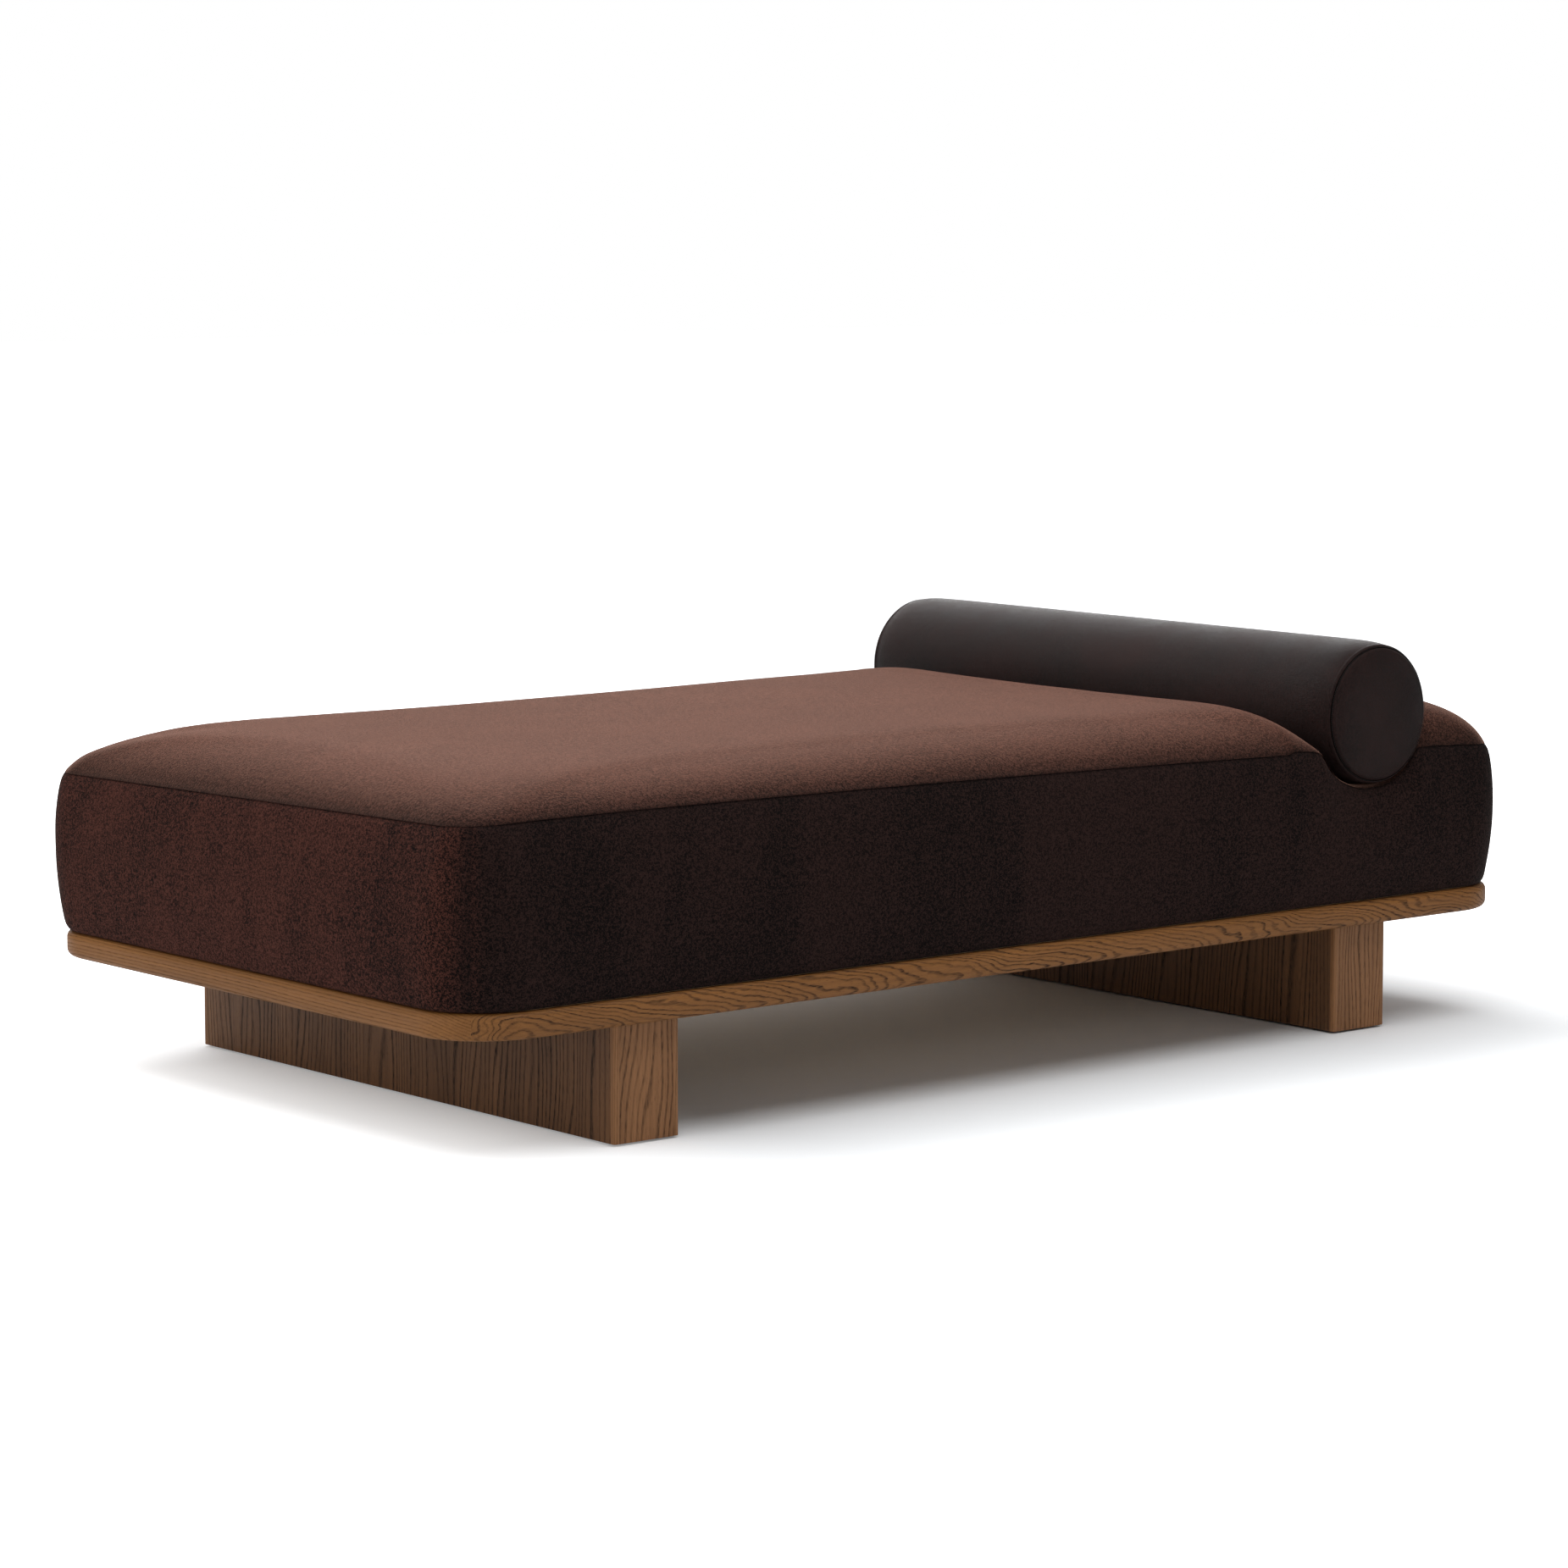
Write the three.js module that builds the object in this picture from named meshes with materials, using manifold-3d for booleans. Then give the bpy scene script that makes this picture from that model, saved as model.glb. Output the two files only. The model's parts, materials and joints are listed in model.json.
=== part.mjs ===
// Daybed: an upholstered seat with a loose leather bolster, on an oak platform with two broad box legs.
// Millimetres, +Z up, origin on the floor under the middle of the platform.
// -X is the foot end, +X the head end, -Y the near long side and +Y the far one.
import * as THREE from "three";
import { mergeVertices } from "three/addons/utils/BufferGeometryUtils.js";
import Module from "manifold-3d";

// Platform
const LENGTH = 1980;
const WIDTH = 1048;
const PLATFORM_BOTTOM = 164;
const PLATFORM_THICK = 36;
const PLATFORM_CORNER = 110;
const EDGE_ROUND = 10;
const RAIL_WIDTH = 150;
const DECK_THICK = 18;
const SPLINE_THICK = 6;
const SPLINE_REACH = 15;
const CENTRE_BEARER_WIDTH = 90;

// Legs
const LEG_INSET = 259;
const LEG_THICK = 108;
const LEG_SIDE_INSET = 29;
const LEG_BOARD = 19;
const LEG_ARRIS = 5;
const GLIDE_RADIUS = 12;
const GLIDE_HEIGHT = 3;
const GLIDE_INSET = 34;
const BOLT_RADIUS = 4;
const BOLT_HEAD_RADIUS = 7;
const BOLT_HEAD_HEIGHT = 5;
const BOLT_BITE = 12;

// Seat frame and padding
const FRAME_HEIGHT = 47;
const FRAME_RAIL = 45;
const STRUT_WIDTH = 60;
const SEAT_BOARD = 12;
const SCREW_RADIUS = 3;
const SCREW_HEAD_RADIUS = 6;
const SCREW_HEAD_HEIGHT = 4;
const COVER_THICK = 3;
const COVER_LIFT = 2;
const PAD_INSET = 6;
const PAD_SEAM_INSET = 10;
const PAD_BULGE = 13;
const PAD_CORNER = 104;
const PAD_SEAM_CORNER = 72;
const SEAM_HEIGHT = 448;
const SEAM_FALL_TO_HEAD = 28;
const SEAM_FALL_TO_FAR = 17;
const CROWN_FOOT = 485;
const CROWN_HEAD = 494;
const CROWN_ROLL = 240;
const CROWN_POWER = 4;
const PAD_ARC_STEPS = 5;
const PAD_SIDE_STEPS = [4, 2];

// Bolster and the channel it lies in
const BOLSTER_RADIUS = 108;
const BOLSTER_SEAM_RADIUS = 100.6;
const BOLSTER_SWELL = 18;
const BOLSTER_DOME = 8;
const BOLSTER_SHORTFALL = 16;
const BOLSTER_FROM_HEAD = 303;
const BOLSTER_BOTTOM = 370;
const BOLSTER_FACETS = 32;
const CHANNEL_CLEARANCE = 0.5;
const SEAT_LIP = 112;
const HEAD_LIP = 50;
const HEAD_LIP_DROP = 12;
const CHANNEL_SHOULDER = 12;

const GAP = 0.3;

const PLATFORM_TOP = PLATFORM_BOTTOM + PLATFORM_THICK;
const LEG_TOP = PLATFORM_BOTTOM - GAP;
const LEG_HALF = WIDTH / 2 - LEG_SIDE_INSET;
const LEG_X = LENGTH / 2 - LEG_INSET - LEG_THICK / 2;
const FRAME_TOP = PLATFORM_TOP + GAP + FRAME_HEIGHT;
const FOAM_BOTTOM = FRAME_TOP + 2 * GAP + SEAT_BOARD;
const COVER_BOTTOM = PLATFORM_TOP + COVER_LIFT;
const FOAM_OFFSET = COVER_THICK + GAP;
const FRAME_INSET = PAD_INSET + 2 * FOAM_OFFSET;
const BOLSTER_X = LENGTH / 2 - BOLSTER_FROM_HEAD;
const BOLSTER_Z = BOLSTER_BOTTOM + BOLSTER_RADIUS;
const BOLSTER_HALF = (WIDTH - BOLSTER_SHORTFALL) / 2;
const SKY = BOLSTER_Z + 2 * BOLSTER_RADIUS;

const OAK = { color: 0x7a5638, roughness: 0.5, metalness: 0 };
const PLY = { color: 0xb99a72, roughness: 0.7, metalness: 0 };
const PINE = { color: 0xc9a878, roughness: 0.75, metalness: 0 };
const STEEL = { color: 0x8f9294, roughness: 0.35, metalness: 0.9 };
const FELT = { color: 0x2a2725, roughness: 0.95, metalness: 0 };
const FOAM = { color: 0xe6dfc8, roughness: 0.95, metalness: 0 };
const VELVET = { color: 0x4a2e26, roughness: 0.9, metalness: 0 };
const LEATHER = { color: 0x2e2422, roughness: 0.45, metalness: 0 };

const wasm = await Module();
wasm.setup();

const daybed = new THREE.Group();
daybed.name = "daybed";

function add(parent, name, geometry, look) {
  const mesh = new THREE.Mesh(geometry, new THREE.MeshStandardMaterial(look));
  mesh.name = name;
  parent.add(mesh);
  return mesh;
}

// Solid and geometry are two views of one body: booleans work on the first, meshes hold the second.
function solid(geometry) {
  const bare = geometry.clone();
  bare.deleteAttribute("normal");
  bare.deleteAttribute("uv");
  const merged = mergeVertices(bare, 1e-4);
  return new wasm.Manifold(
    new wasm.Mesh({
      numProp: 3,
      vertProperties: merged.attributes.position.array,
      triVerts: new Uint32Array(merged.index.array),
    }),
  );
}

function geometryOf(body) {
  const mesh = body.getMesh();
  const geometry = new THREE.BufferGeometry();
  geometry.setAttribute("position", new THREE.BufferAttribute(mesh.vertProperties, 3));
  geometry.setIndex(new THREE.BufferAttribute(mesh.triVerts, 1));
  const flat = geometry.toNonIndexed();
  flat.computeVertexNormals();
  return flat;
}

function box(x0, x1, y0, y1, z0, z1) {
  const geometry = new THREE.BoxGeometry(x1 - x0, y1 - y0, z1 - z0);
  geometry.translate((x0 + x1) / 2, (y0 + y1) / 2, (z0 + z1) / 2);
  return geometry;
}

// Rounded rectangle as points, counter-clockwise, with straight sides cut into equal steps.
function roundedLoop(halfX, halfY, radius, arcSteps, sideSteps = [1, 1]) {
  const r = Math.max(radius, 2);
  const centres = [
    [halfX - r, halfY - r],
    [r - halfX, halfY - r],
    [r - halfX, r - halfY],
    [halfX - r, r - halfY],
  ];
  const points = [];
  centres.forEach(([cx, cy], corner) => {
    for (let i = 0; i <= arcSteps; i++) {
      const angle = (corner + i / arcSteps) * (Math.PI / 2);
      points.push(new THREE.Vector2(cx + r * Math.cos(angle), cy + r * Math.sin(angle)));
    }
    const last = points[points.length - 1];
    const [nx, ny] = centres[(corner + 1) % 4];
    const angle = (corner + 1) * (Math.PI / 2);
    const next = new THREE.Vector2(nx + r * Math.cos(angle), ny + r * Math.sin(angle));
    const steps = sideSteps[corner % 2];
    for (let i = 1; i < steps; i++) {
      points.push(last.clone().lerp(next, i / steps));
    }
  });
  return points;
}

function prism(points, z0, z1) {
  const shape = new THREE.Shape(points);
  const geometry = new THREE.ExtrudeGeometry(shape, { depth: z1 - z0, bevelEnabled: false });
  geometry.translate(0, 0, z0);
  return geometry;
}

// A profile in X and Z run along Y between two values.
function beam(profile, y0, y1) {
  const geometry = prism(profile, 0, y1 - y0);
  geometry.rotateX(Math.PI / 2);
  geometry.translate(0, y1, 0);
  return geometry;
}

// A profile of [radius, height] turned about +Z, starting and ending on the axis or closing on itself.
function turned(profile, segments) {
  const points = profile.map(([r, z]) => new THREE.Vector2(r, z));
  const geometry = new THREE.LatheGeometry(points, segments);
  geometry.rotateX(Math.PI / 2);
  return geometry;
}

// Closed body through a stack of loops with equal point counts, lowest first.
function lofted(loops) {
  const count = loops[0].length;
  const positions = loops.flat().flatMap((p) => [p.x, p.y, p.z]);
  const index = [];
  for (let k = 0; k + 1 < loops.length; k++) {
    for (let i = 0; i < count; i++) {
      const a = k * count + i;
      const b = k * count + ((i + 1) % count);
      index.push(a, b, b + count, a, b + count, a + count);
    }
  }
  const fan = (loop, start, up) => {
    const middle = loop.reduce((sum, p) => sum.add(p), new THREE.Vector3()).divideScalar(count);
    const centre = positions.length / 3;
    positions.push(middle.x, middle.y, middle.z);
    for (let i = 0; i < count; i++) {
      const next = start + ((i + 1) % count);
      index.push(...(up ? [start + i, next, centre] : [next, start + i, centre]));
    }
  };
  fan(loops[0], 0, false);
  fan(loops[loops.length - 1], (loops.length - 1) * count, true);
  const geometry = new THREE.BufferGeometry();
  geometry.setAttribute("position", new THREE.Float32BufferAttribute(positions, 3));
  geometry.setIndex(index);
  return geometry;
}

// Four wedges that part a frame along its mitres, each drawn back a little for the glue line.
function mitreWedge(side, halfX, halfY, z0, z1) {
  const reach = Math.min(halfX, halfY);
  const out = 400;
  const near = [
    [-halfX - out, -halfY - out],
    [halfX + out, -halfY - out],
    [halfX - reach, -halfY + reach],
    [reach - halfX, -halfY + reach],
  ];
  const foot = [
    [-halfX - out, halfY + out],
    [-halfX - out, -halfY - out],
    [reach - halfX, -halfY + reach],
    [reach - halfX, halfY - reach],
  ];
  const sign = side === "near" || side === "foot" ? 1 : -1;
  const along = side === "near" || side === "far";
  const points = (along ? near : foot).map(([x, y]) => {
    const shiftX = along ? 0 : -GAP / 2;
    const shiftY = along ? -GAP / 2 : 0;
    return new THREE.Vector2(sign * (x + shiftX), sign * (y + shiftY));
  });
  return solid(prism(points, z0, z1));
}

const SIDES = ["near", "far", "foot", "head"];

// ---- Platform: four mitred oak rails round a plywood deck on cross bearers ----

function platformSlab() {
  const shape = new THREE.Shape(roundedLoop(LENGTH / 2, WIDTH / 2, PLATFORM_CORNER, 12));
  const geometry = new THREE.ExtrudeGeometry(shape, {
    depth: PLATFORM_THICK - 2 * EDGE_ROUND,
    bevelThickness: EDGE_ROUND,
    bevelSize: EDGE_ROUND,
    bevelOffset: -EDGE_ROUND,
    bevelSegments: 3,
  });
  geometry.translate(0, 0, PLATFORM_BOTTOM + EDGE_ROUND);
  return solid(geometry);
}

const OPENING_X = LENGTH / 2 - RAIL_WIDTH;
const OPENING_Y = WIDTH / 2 - RAIL_WIDTH;
const SPLINE_Z = PLATFORM_BOTTOM + PLATFORM_THICK / 2;

// A loose tongue that crosses the mitre at one corner, lying flat at mid-thickness.
function splineBox(signX, signY, clearance) {
  const outer = PLATFORM_CORNER * 0.5;
  const inner = RAIL_WIDTH - 20;
  const length = (inner - outer) * Math.SQRT2;
  const geometry = new THREE.BoxGeometry(
    length + 2 * clearance,
    2 * SPLINE_REACH + 2 * clearance,
    SPLINE_THICK + 2 * clearance,
  );
  geometry.rotateZ((signX * signY * Math.PI) / 4);
  const middle = (inner + outer) / 2;
  geometry.translate(signX * (LENGTH / 2 - middle), signY * (WIDTH / 2 - middle), SPLINE_Z);
  return geometry;
}

function buildPlatform(parent) {
  let frame = platformSlab().subtract(
    solid(box(-OPENING_X, OPENING_X, -OPENING_Y, OPENING_Y, 0, SKY)),
  );
  for (const [signX, endName] of [[-1, "foot"], [1, "head"]]) {
    for (const [signY, sideName] of [[-1, "near"], [1, "far"]]) {
      frame = frame.subtract(solid(splineBox(signX, signY, GAP)));
      add(parent, `corner_spline_${sideName}_${endName}`, splineBox(signX, signY, 0), PLY);
    }
  }
  for (const side of SIDES) {
    const wedge = mitreWedge(side, LENGTH / 2, WIDTH / 2, 0, SKY);
    add(parent, `${side}_rail`, geometryOf(frame.intersect(wedge)), OAK);
  }
  const deckX = OPENING_X - GAP;
  const deckY = OPENING_Y - GAP;
  let deck = solid(box(-deckX, deckX, -deckY, deckY, PLATFORM_TOP - DECK_THICK, PLATFORM_TOP));
  for (const [x, y] of screwPlaces()) {
    deck = deck.subtract(solid(pin(SCREW_RADIUS + GAP, 0, SKY, x, y)));
  }
  add(parent, "deck_panel", geometryOf(deck), PLY);
  const bearerTop = PLATFORM_TOP - DECK_THICK - GAP;
  const bearers = [
    ["foot_bearer", -LEG_X, LEG_THICK],
    ["centre_bearer", 0, CENTRE_BEARER_WIDTH],
    ["head_bearer", LEG_X, LEG_THICK],
  ];
  for (const [name, x, width] of bearers) {
    let bearer = solid(box(x - width / 2, x + width / 2, -deckY, deckY, PLATFORM_BOTTOM, bearerTop));
    for (const [boltX, boltY] of boltPlaces()) {
      bearer = bearer.subtract(solid(pin(BOLT_RADIUS + GAP, 0, LEG_TOP + BOLT_BITE + 1, boltX, boltY)));
    }
    add(parent, name, geometryOf(bearer), PINE);
  }
}

// ---- Legs: mitred oak boxes with a mounting board above, a base board below and felt glides ----

function pin(radius, z0, z1, x, y) {
  const geometry = turned([[0, z0], [radius, z0], [radius, z1], [0, z1]], 16);
  geometry.translate(x, y, 0);
  return geometry;
}

function boltPlaces() {
  const y = LEG_HALF * 0.5;
  return [[-LEG_X, -y], [-LEG_X, y], [LEG_X, -y], [LEG_X, y]];
}

function buildLeg(parent, name, x) {
  const leg = new THREE.Group();
  leg.name = `${name}_leg`;
  leg.position.x = x;
  parent.add(leg);
  const halfThick = LEG_THICK / 2;
  const outer = solid(prism(roundedLoop(halfThick, LEG_HALF, LEG_ARRIS, 4), GLIDE_HEIGHT, LEG_TOP));
  const coreX = halfThick - LEG_BOARD;
  const coreY = LEG_HALF - LEG_BOARD;
  const shell = outer.subtract(solid(box(-coreX, coreX, -coreY, coreY, 0, SKY)));
  for (const side of SIDES) {
    const board = shell.intersect(mitreWedge(side, halfThick, LEG_HALF, 0, SKY));
    add(leg, `${name}_leg_${side}_board`, geometryOf(board), OAK);
  }
  const boardX = coreX - GAP;
  const boardY = coreY - GAP;
  let top = solid(box(-boardX, boardX, -boardY, boardY, LEG_TOP - LEG_BOARD, LEG_TOP));
  const headTop = LEG_TOP - LEG_BOARD - GAP;
  const bolt = [
    [0, headTop - BOLT_HEAD_HEIGHT],
    [BOLT_HEAD_RADIUS, headTop - BOLT_HEAD_HEIGHT],
    [BOLT_HEAD_RADIUS, headTop],
    [BOLT_RADIUS, headTop],
    [BOLT_RADIUS, LEG_TOP + BOLT_BITE],
    [0, LEG_TOP + BOLT_BITE],
  ];
  for (const [boltX, boltY] of boltPlaces().filter((place) => place[0] === x)) {
    top = top.subtract(solid(pin(BOLT_RADIUS + GAP, 0, SKY, boltX - x, boltY)));
    const mesh = add(leg, `${name}_leg_bolt_${boltY < 0 ? "near" : "far"}`, turned(bolt, 16), STEEL);
    mesh.position.y = boltY;
  }
  add(leg, `${name}_leg_mounting_board`, geometryOf(top), PLY);
  const base = box(-boardX, boardX, -boardY, boardY, GLIDE_HEIGHT, GLIDE_HEIGHT + LEG_BOARD);
  add(leg, `${name}_leg_base_board`, base, PLY);
  const glide = [[0, 0], [GLIDE_RADIUS, 0], [GLIDE_RADIUS, GLIDE_HEIGHT - GAP], [0, GLIDE_HEIGHT - GAP]];
  for (const [place, along] of [["near", -1], ["near_mid", -1 / 3], ["far_mid", 1 / 3], ["far", 1]]) {
    const mesh = add(leg, `${name}_leg_glide_${place}`, turned(glide, 20), FELT);
    mesh.position.y = along * (coreY - GLIDE_INSET);
  }
}

// ---- Seat frame: a softwood ring with two struts and a plywood seat board ----

function screwPlaces() {
  const x = LENGTH / 6;
  const y = WIDTH / 4;
  return [[-x, -y], [-x, y], [x, -y], [x, y]];
}

function buildSeatFrame(parent) {
  const z0 = PLATFORM_TOP + GAP;
  const halfX = LENGTH / 2 - FRAME_INSET;
  const halfY = WIDTH / 2 - FRAME_INSET;
  const radius = PAD_CORNER - 2 * FOAM_OFFSET;
  const innerX = halfX - FRAME_RAIL;
  const innerY = halfY - FRAME_RAIL;
  const ring = solid(prism(roundedLoop(halfX, halfY, radius, 8), z0, FRAME_TOP)).subtract(
    solid(prism(roundedLoop(innerX, innerY, radius - FRAME_RAIL, 8), 0, SKY)),
  );
  const cutX = halfX - radius - GAP;
  for (const [sign, name] of [[-1, "near"], [1, "far"]]) {
    const y = [sign * 10, sign * WIDTH].sort((a, b) => a - b);
    const side = ring.intersect(solid(box(-cutX, cutX, y[0], y[1], 0, SKY)));
    add(parent, `seat_frame_${name}`, geometryOf(side), PINE);
  }
  for (const [sign, name] of [[-1, "foot"], [1, "head"]]) {
    const x = [sign * (cutX + GAP), sign * LENGTH].sort((a, b) => a - b);
    const end = ring.intersect(solid(box(x[0], x[1], -WIDTH, WIDTH, 0, SKY)));
    add(parent, `seat_frame_${name}`, geometryOf(end), PINE);
  }
  const strutY = innerY - GAP;
  const tip = PLATFORM_TOP + FRAME_HEIGHT / 2;
  const headTop = PLATFORM_TOP - DECK_THICK - GAP;
  const screw = [
    [0, headTop - SCREW_HEAD_HEIGHT],
    [SCREW_HEAD_RADIUS, headTop - SCREW_HEAD_HEIGHT],
    [SCREW_HEAD_RADIUS, headTop],
    [SCREW_RADIUS, headTop],
    [SCREW_RADIUS, tip],
    [0, tip],
  ];
  for (const [sign, name] of [[-1, "foot"], [1, "head"]]) {
    const x = (sign * LENGTH) / 6;
    const half = STRUT_WIDTH / 2;
    let strut = solid(box(x - half, x + half, -strutY, strutY, z0, FRAME_TOP));
    for (const [screwX, screwY] of screwPlaces().filter((place) => place[0] === x)) {
      strut = strut.subtract(solid(pin(SCREW_RADIUS + GAP, 0, tip + 1, screwX, screwY)));
      const side = screwY < 0 ? "near" : "far";
      const mesh = add(parent, `seat_screw_${side}_${name}`, turned(screw, 16), STEEL);
      mesh.position.set(screwX, screwY, 0);
    }
    add(parent, `seat_strut_${name}`, geometryOf(strut), PINE);
  }
  const board = prism(roundedLoop(halfX, halfY, radius, 8), FRAME_TOP + GAP, FRAME_TOP + GAP + SEAT_BOARD);
  add(parent, "seat_board", board, PLY);
}

// ---- Upholstery: a crowned pad whose boxing bulges, with a channel across it for the bolster ----

function seamHeight(x, y) {
  const toHead = (x + LENGTH / 2) / LENGTH;
  const toFar = (y + WIDTH / 2) / WIDTH;
  return SEAM_HEIGHT - SEAM_FALL_TO_HEAD * toHead ** 2 - SEAM_FALL_TO_FAR * toFar;
}

function crownHeight(x) {
  const toHead = (x + LENGTH / 2) / LENGTH;
  return CROWN_FOOT + (CROWN_HEAD - CROWN_FOOT) * toHead;
}

// The side wall up to the seam. Offset draws it inwards by a skin, and drop lowers its upper edge.
function padWall(offset, drop) {
  const loops = [];
  const steps = 4;
  for (let k = 0; k <= steps; k++) {
    const t = k / steps;
    const lean = PAD_INSET + (PAD_SEAM_INSET - PAD_INSET) * t;
    const inset = lean - 4 * PAD_BULGE * t * (1 - t) + offset;
    const radius = PAD_CORNER + (PAD_SEAM_CORNER - PAD_CORNER) * t - offset;
    const flat = roundedLoop(LENGTH / 2 - inset, WIDTH / 2 - inset, radius, PAD_ARC_STEPS, PAD_SIDE_STEPS);
    loops.push(
      flat.map((p) => {
        const top = seamHeight(p.x, p.y) - drop;
        return new THREE.Vector3(p.x, p.y, COVER_BOTTOM + (top - COVER_BOTTOM) * t);
      }),
    );
  }
  if (offset > 0) {
    loops.unshift(loops[0].map((p) => new THREE.Vector3(p.x, p.y, COVER_BOTTOM - 1)));
  }
  return loops;
}

function padBody(offset) {
  const loops = padWall(offset, offset);
  const rolls = [0.03, 0.1, 0.22, 0.45, 1];
  for (const part of rolls) {
    const d = part * CROWN_ROLL;
    const inset = PAD_SEAM_INSET + d + offset;
    const rise = 1 - (1 - part) ** CROWN_POWER;
    const radius = PAD_SEAM_CORNER - d - offset;
    const flat = roundedLoop(LENGTH / 2 - inset, WIDTH / 2 - inset, radius, PAD_ARC_STEPS, PAD_SIDE_STEPS);
    loops.push(
      flat.map((p) => {
        const seam = seamHeight(p.x, p.y);
        return new THREE.Vector3(p.x, p.y, seam + (crownHeight(p.x) - seam) * rise - offset);
      }),
    );
  }
  return solid(lofted(loops));
}

// The same wall carried straight up, to part what lies inside the boxing from the boxing itself.
function padColumn(offset) {
  const loops = padWall(offset, 0);
  loops.push(loops[loops.length - 1].map((p) => new THREE.Vector3(p.x, p.y, SKY)));
  return solid(lofted(loops));
}

function arc(cx, cz, radius, from, to, steps) {
  const points = [];
  for (let i = 0; i <= steps; i++) {
    const angle = from + ((to - from) * i) / steps;
    points.push(new THREE.Vector2(cx + radius * Math.cos(angle), cz + radius * Math.sin(angle)));
  }
  return points;
}

// The channel's section: a lip rolls off the crown on each side into a trough that follows the bolster.
function channelBody(offset) {
  const trough = BOLSTER_RADIUS + CHANNEL_CLEARANCE + offset;
  const crown = crownHeight(BOLSTER_X);
  const lips = [
    { sign: -1, radius: SEAT_LIP - offset, z: crown - SEAT_LIP },
    { sign: 1, radius: HEAD_LIP - offset, z: crown - HEAD_LIP_DROP - HEAD_LIP },
  ];
  const sides = lips.map(({ sign, radius, z }) => {
    const reach = trough + radius;
    const across = Math.sqrt(reach ** 2 - (BOLSTER_Z - z) ** 2);
    const tilt = Math.atan2(BOLSTER_Z - z, across);
    return { x: BOLSTER_X + sign * across, z, radius, tilt };
  });
  const [seat, head] = sides;
  const profile = [
    new THREE.Vector2(seat.x, SKY),
    ...arc(seat.x, seat.z, seat.radius, Math.PI / 2, seat.tilt, 6),
    ...arc(BOLSTER_X, BOLSTER_Z, trough, Math.PI + seat.tilt, 2 * Math.PI - head.tilt, 12).slice(1, -1),
    ...arc(head.x, head.z, head.radius, Math.PI - head.tilt, Math.PI / 2, 4),
    new THREE.Vector2(head.x, SKY),
  ];
  return {
    body: solid(beam(profile, -WIDTH, WIDTH)),
    seatEdge: seat.x - CHANNEL_SHOULDER,
    headEdge: head.x + CHANNEL_SHOULDER,
  };
}

// Everything above the seam line, raised or lowered a little for the sewn joint.
function aboveSeam(lift) {
  const steps = 12;
  const line = [];
  for (let i = 0; i <= steps; i++) {
    const x = LENGTH * (i / steps - 0.5) * 1.2;
    line.push(new THREE.Vector2(x, seamHeight(Math.max(x, -LENGTH / 2), -WIDTH / 2) + lift));
  }
  line.push(new THREE.Vector2(LENGTH * 0.6, SKY + 50), new THREE.Vector2(-LENGTH * 0.6, SKY + 50));
  const geometry = beam(line, -WIDTH, WIDTH);
  const position = geometry.getAttribute("position");
  for (let i = 0; i < position.count; i++) {
    const toFar = (position.getY(i) + WIDTH / 2) / WIDTH;
    position.setZ(i, position.getZ(i) - SEAM_FALL_TO_FAR * toFar);
  }
  return solid(geometry);
}

function buildUpholstery(parent) {
  const pad = (offset) => padBody(offset).subtract(channelBody(offset).body);
  const outer = pad(0);
  const foam = pad(FOAM_OFFSET);
  const lining = padColumn(FOAM_OFFSET);
  const panel = outer.subtract(pad(COVER_THICK)).intersect(lining.add(aboveSeam(0)));
  add(parent, "cover_top_panel", geometryOf(panel), VELVET);
  const band = outer.subtract(padColumn(COVER_THICK)).subtract(aboveSeam(-GAP));
  for (const side of SIDES) {
    const strip = band.intersect(mitreWedge(side, LENGTH / 2, WIDTH / 2, 0, SKY));
    add(parent, `cover_${side}_boxing`, geometryOf(strip), VELVET);
  }
  const { seatEdge, headEdge } = channelBody(0);
  const blocks = [
    ["seat_foam", -LENGTH, seatEdge - GAP],
    ["channel_foam", seatEdge, headEdge],
    ["head_foam", headEdge + GAP, LENGTH],
  ];
  for (const [name, x0, x1] of blocks) {
    const block = foam.intersect(solid(box(x0, x1, -WIDTH, WIDTH, FOAM_BOTTOM, SKY)));
    add(parent, name, geometryOf(block), FOAM);
  }
}

// ---- Bolster: a leather tube over foam, closed by two slightly domed discs ----

function barrelLine(inset) {
  const places = [0, 0.6, 1.6, 4];
  const line = places.map((part) => {
    const swell = (BOLSTER_RADIUS - BOLSTER_SEAM_RADIUS) * Math.exp(-part);
    return [BOLSTER_RADIUS - swell - inset, BOLSTER_HALF - part * BOLSTER_SWELL];
  });
  return [...line, ...line.map(([r, z]) => [r, -z]).reverse()];
}

function domeLine(radius, base, rise) {
  return [1, 0.8, 0.45, 0].map((part) => [radius * part, base + rise * (1 - part ** 4)]);
}

function lieAcross(geometry) {
  geometry.rotateX(-Math.PI / 2);
  return geometry;
}

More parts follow.
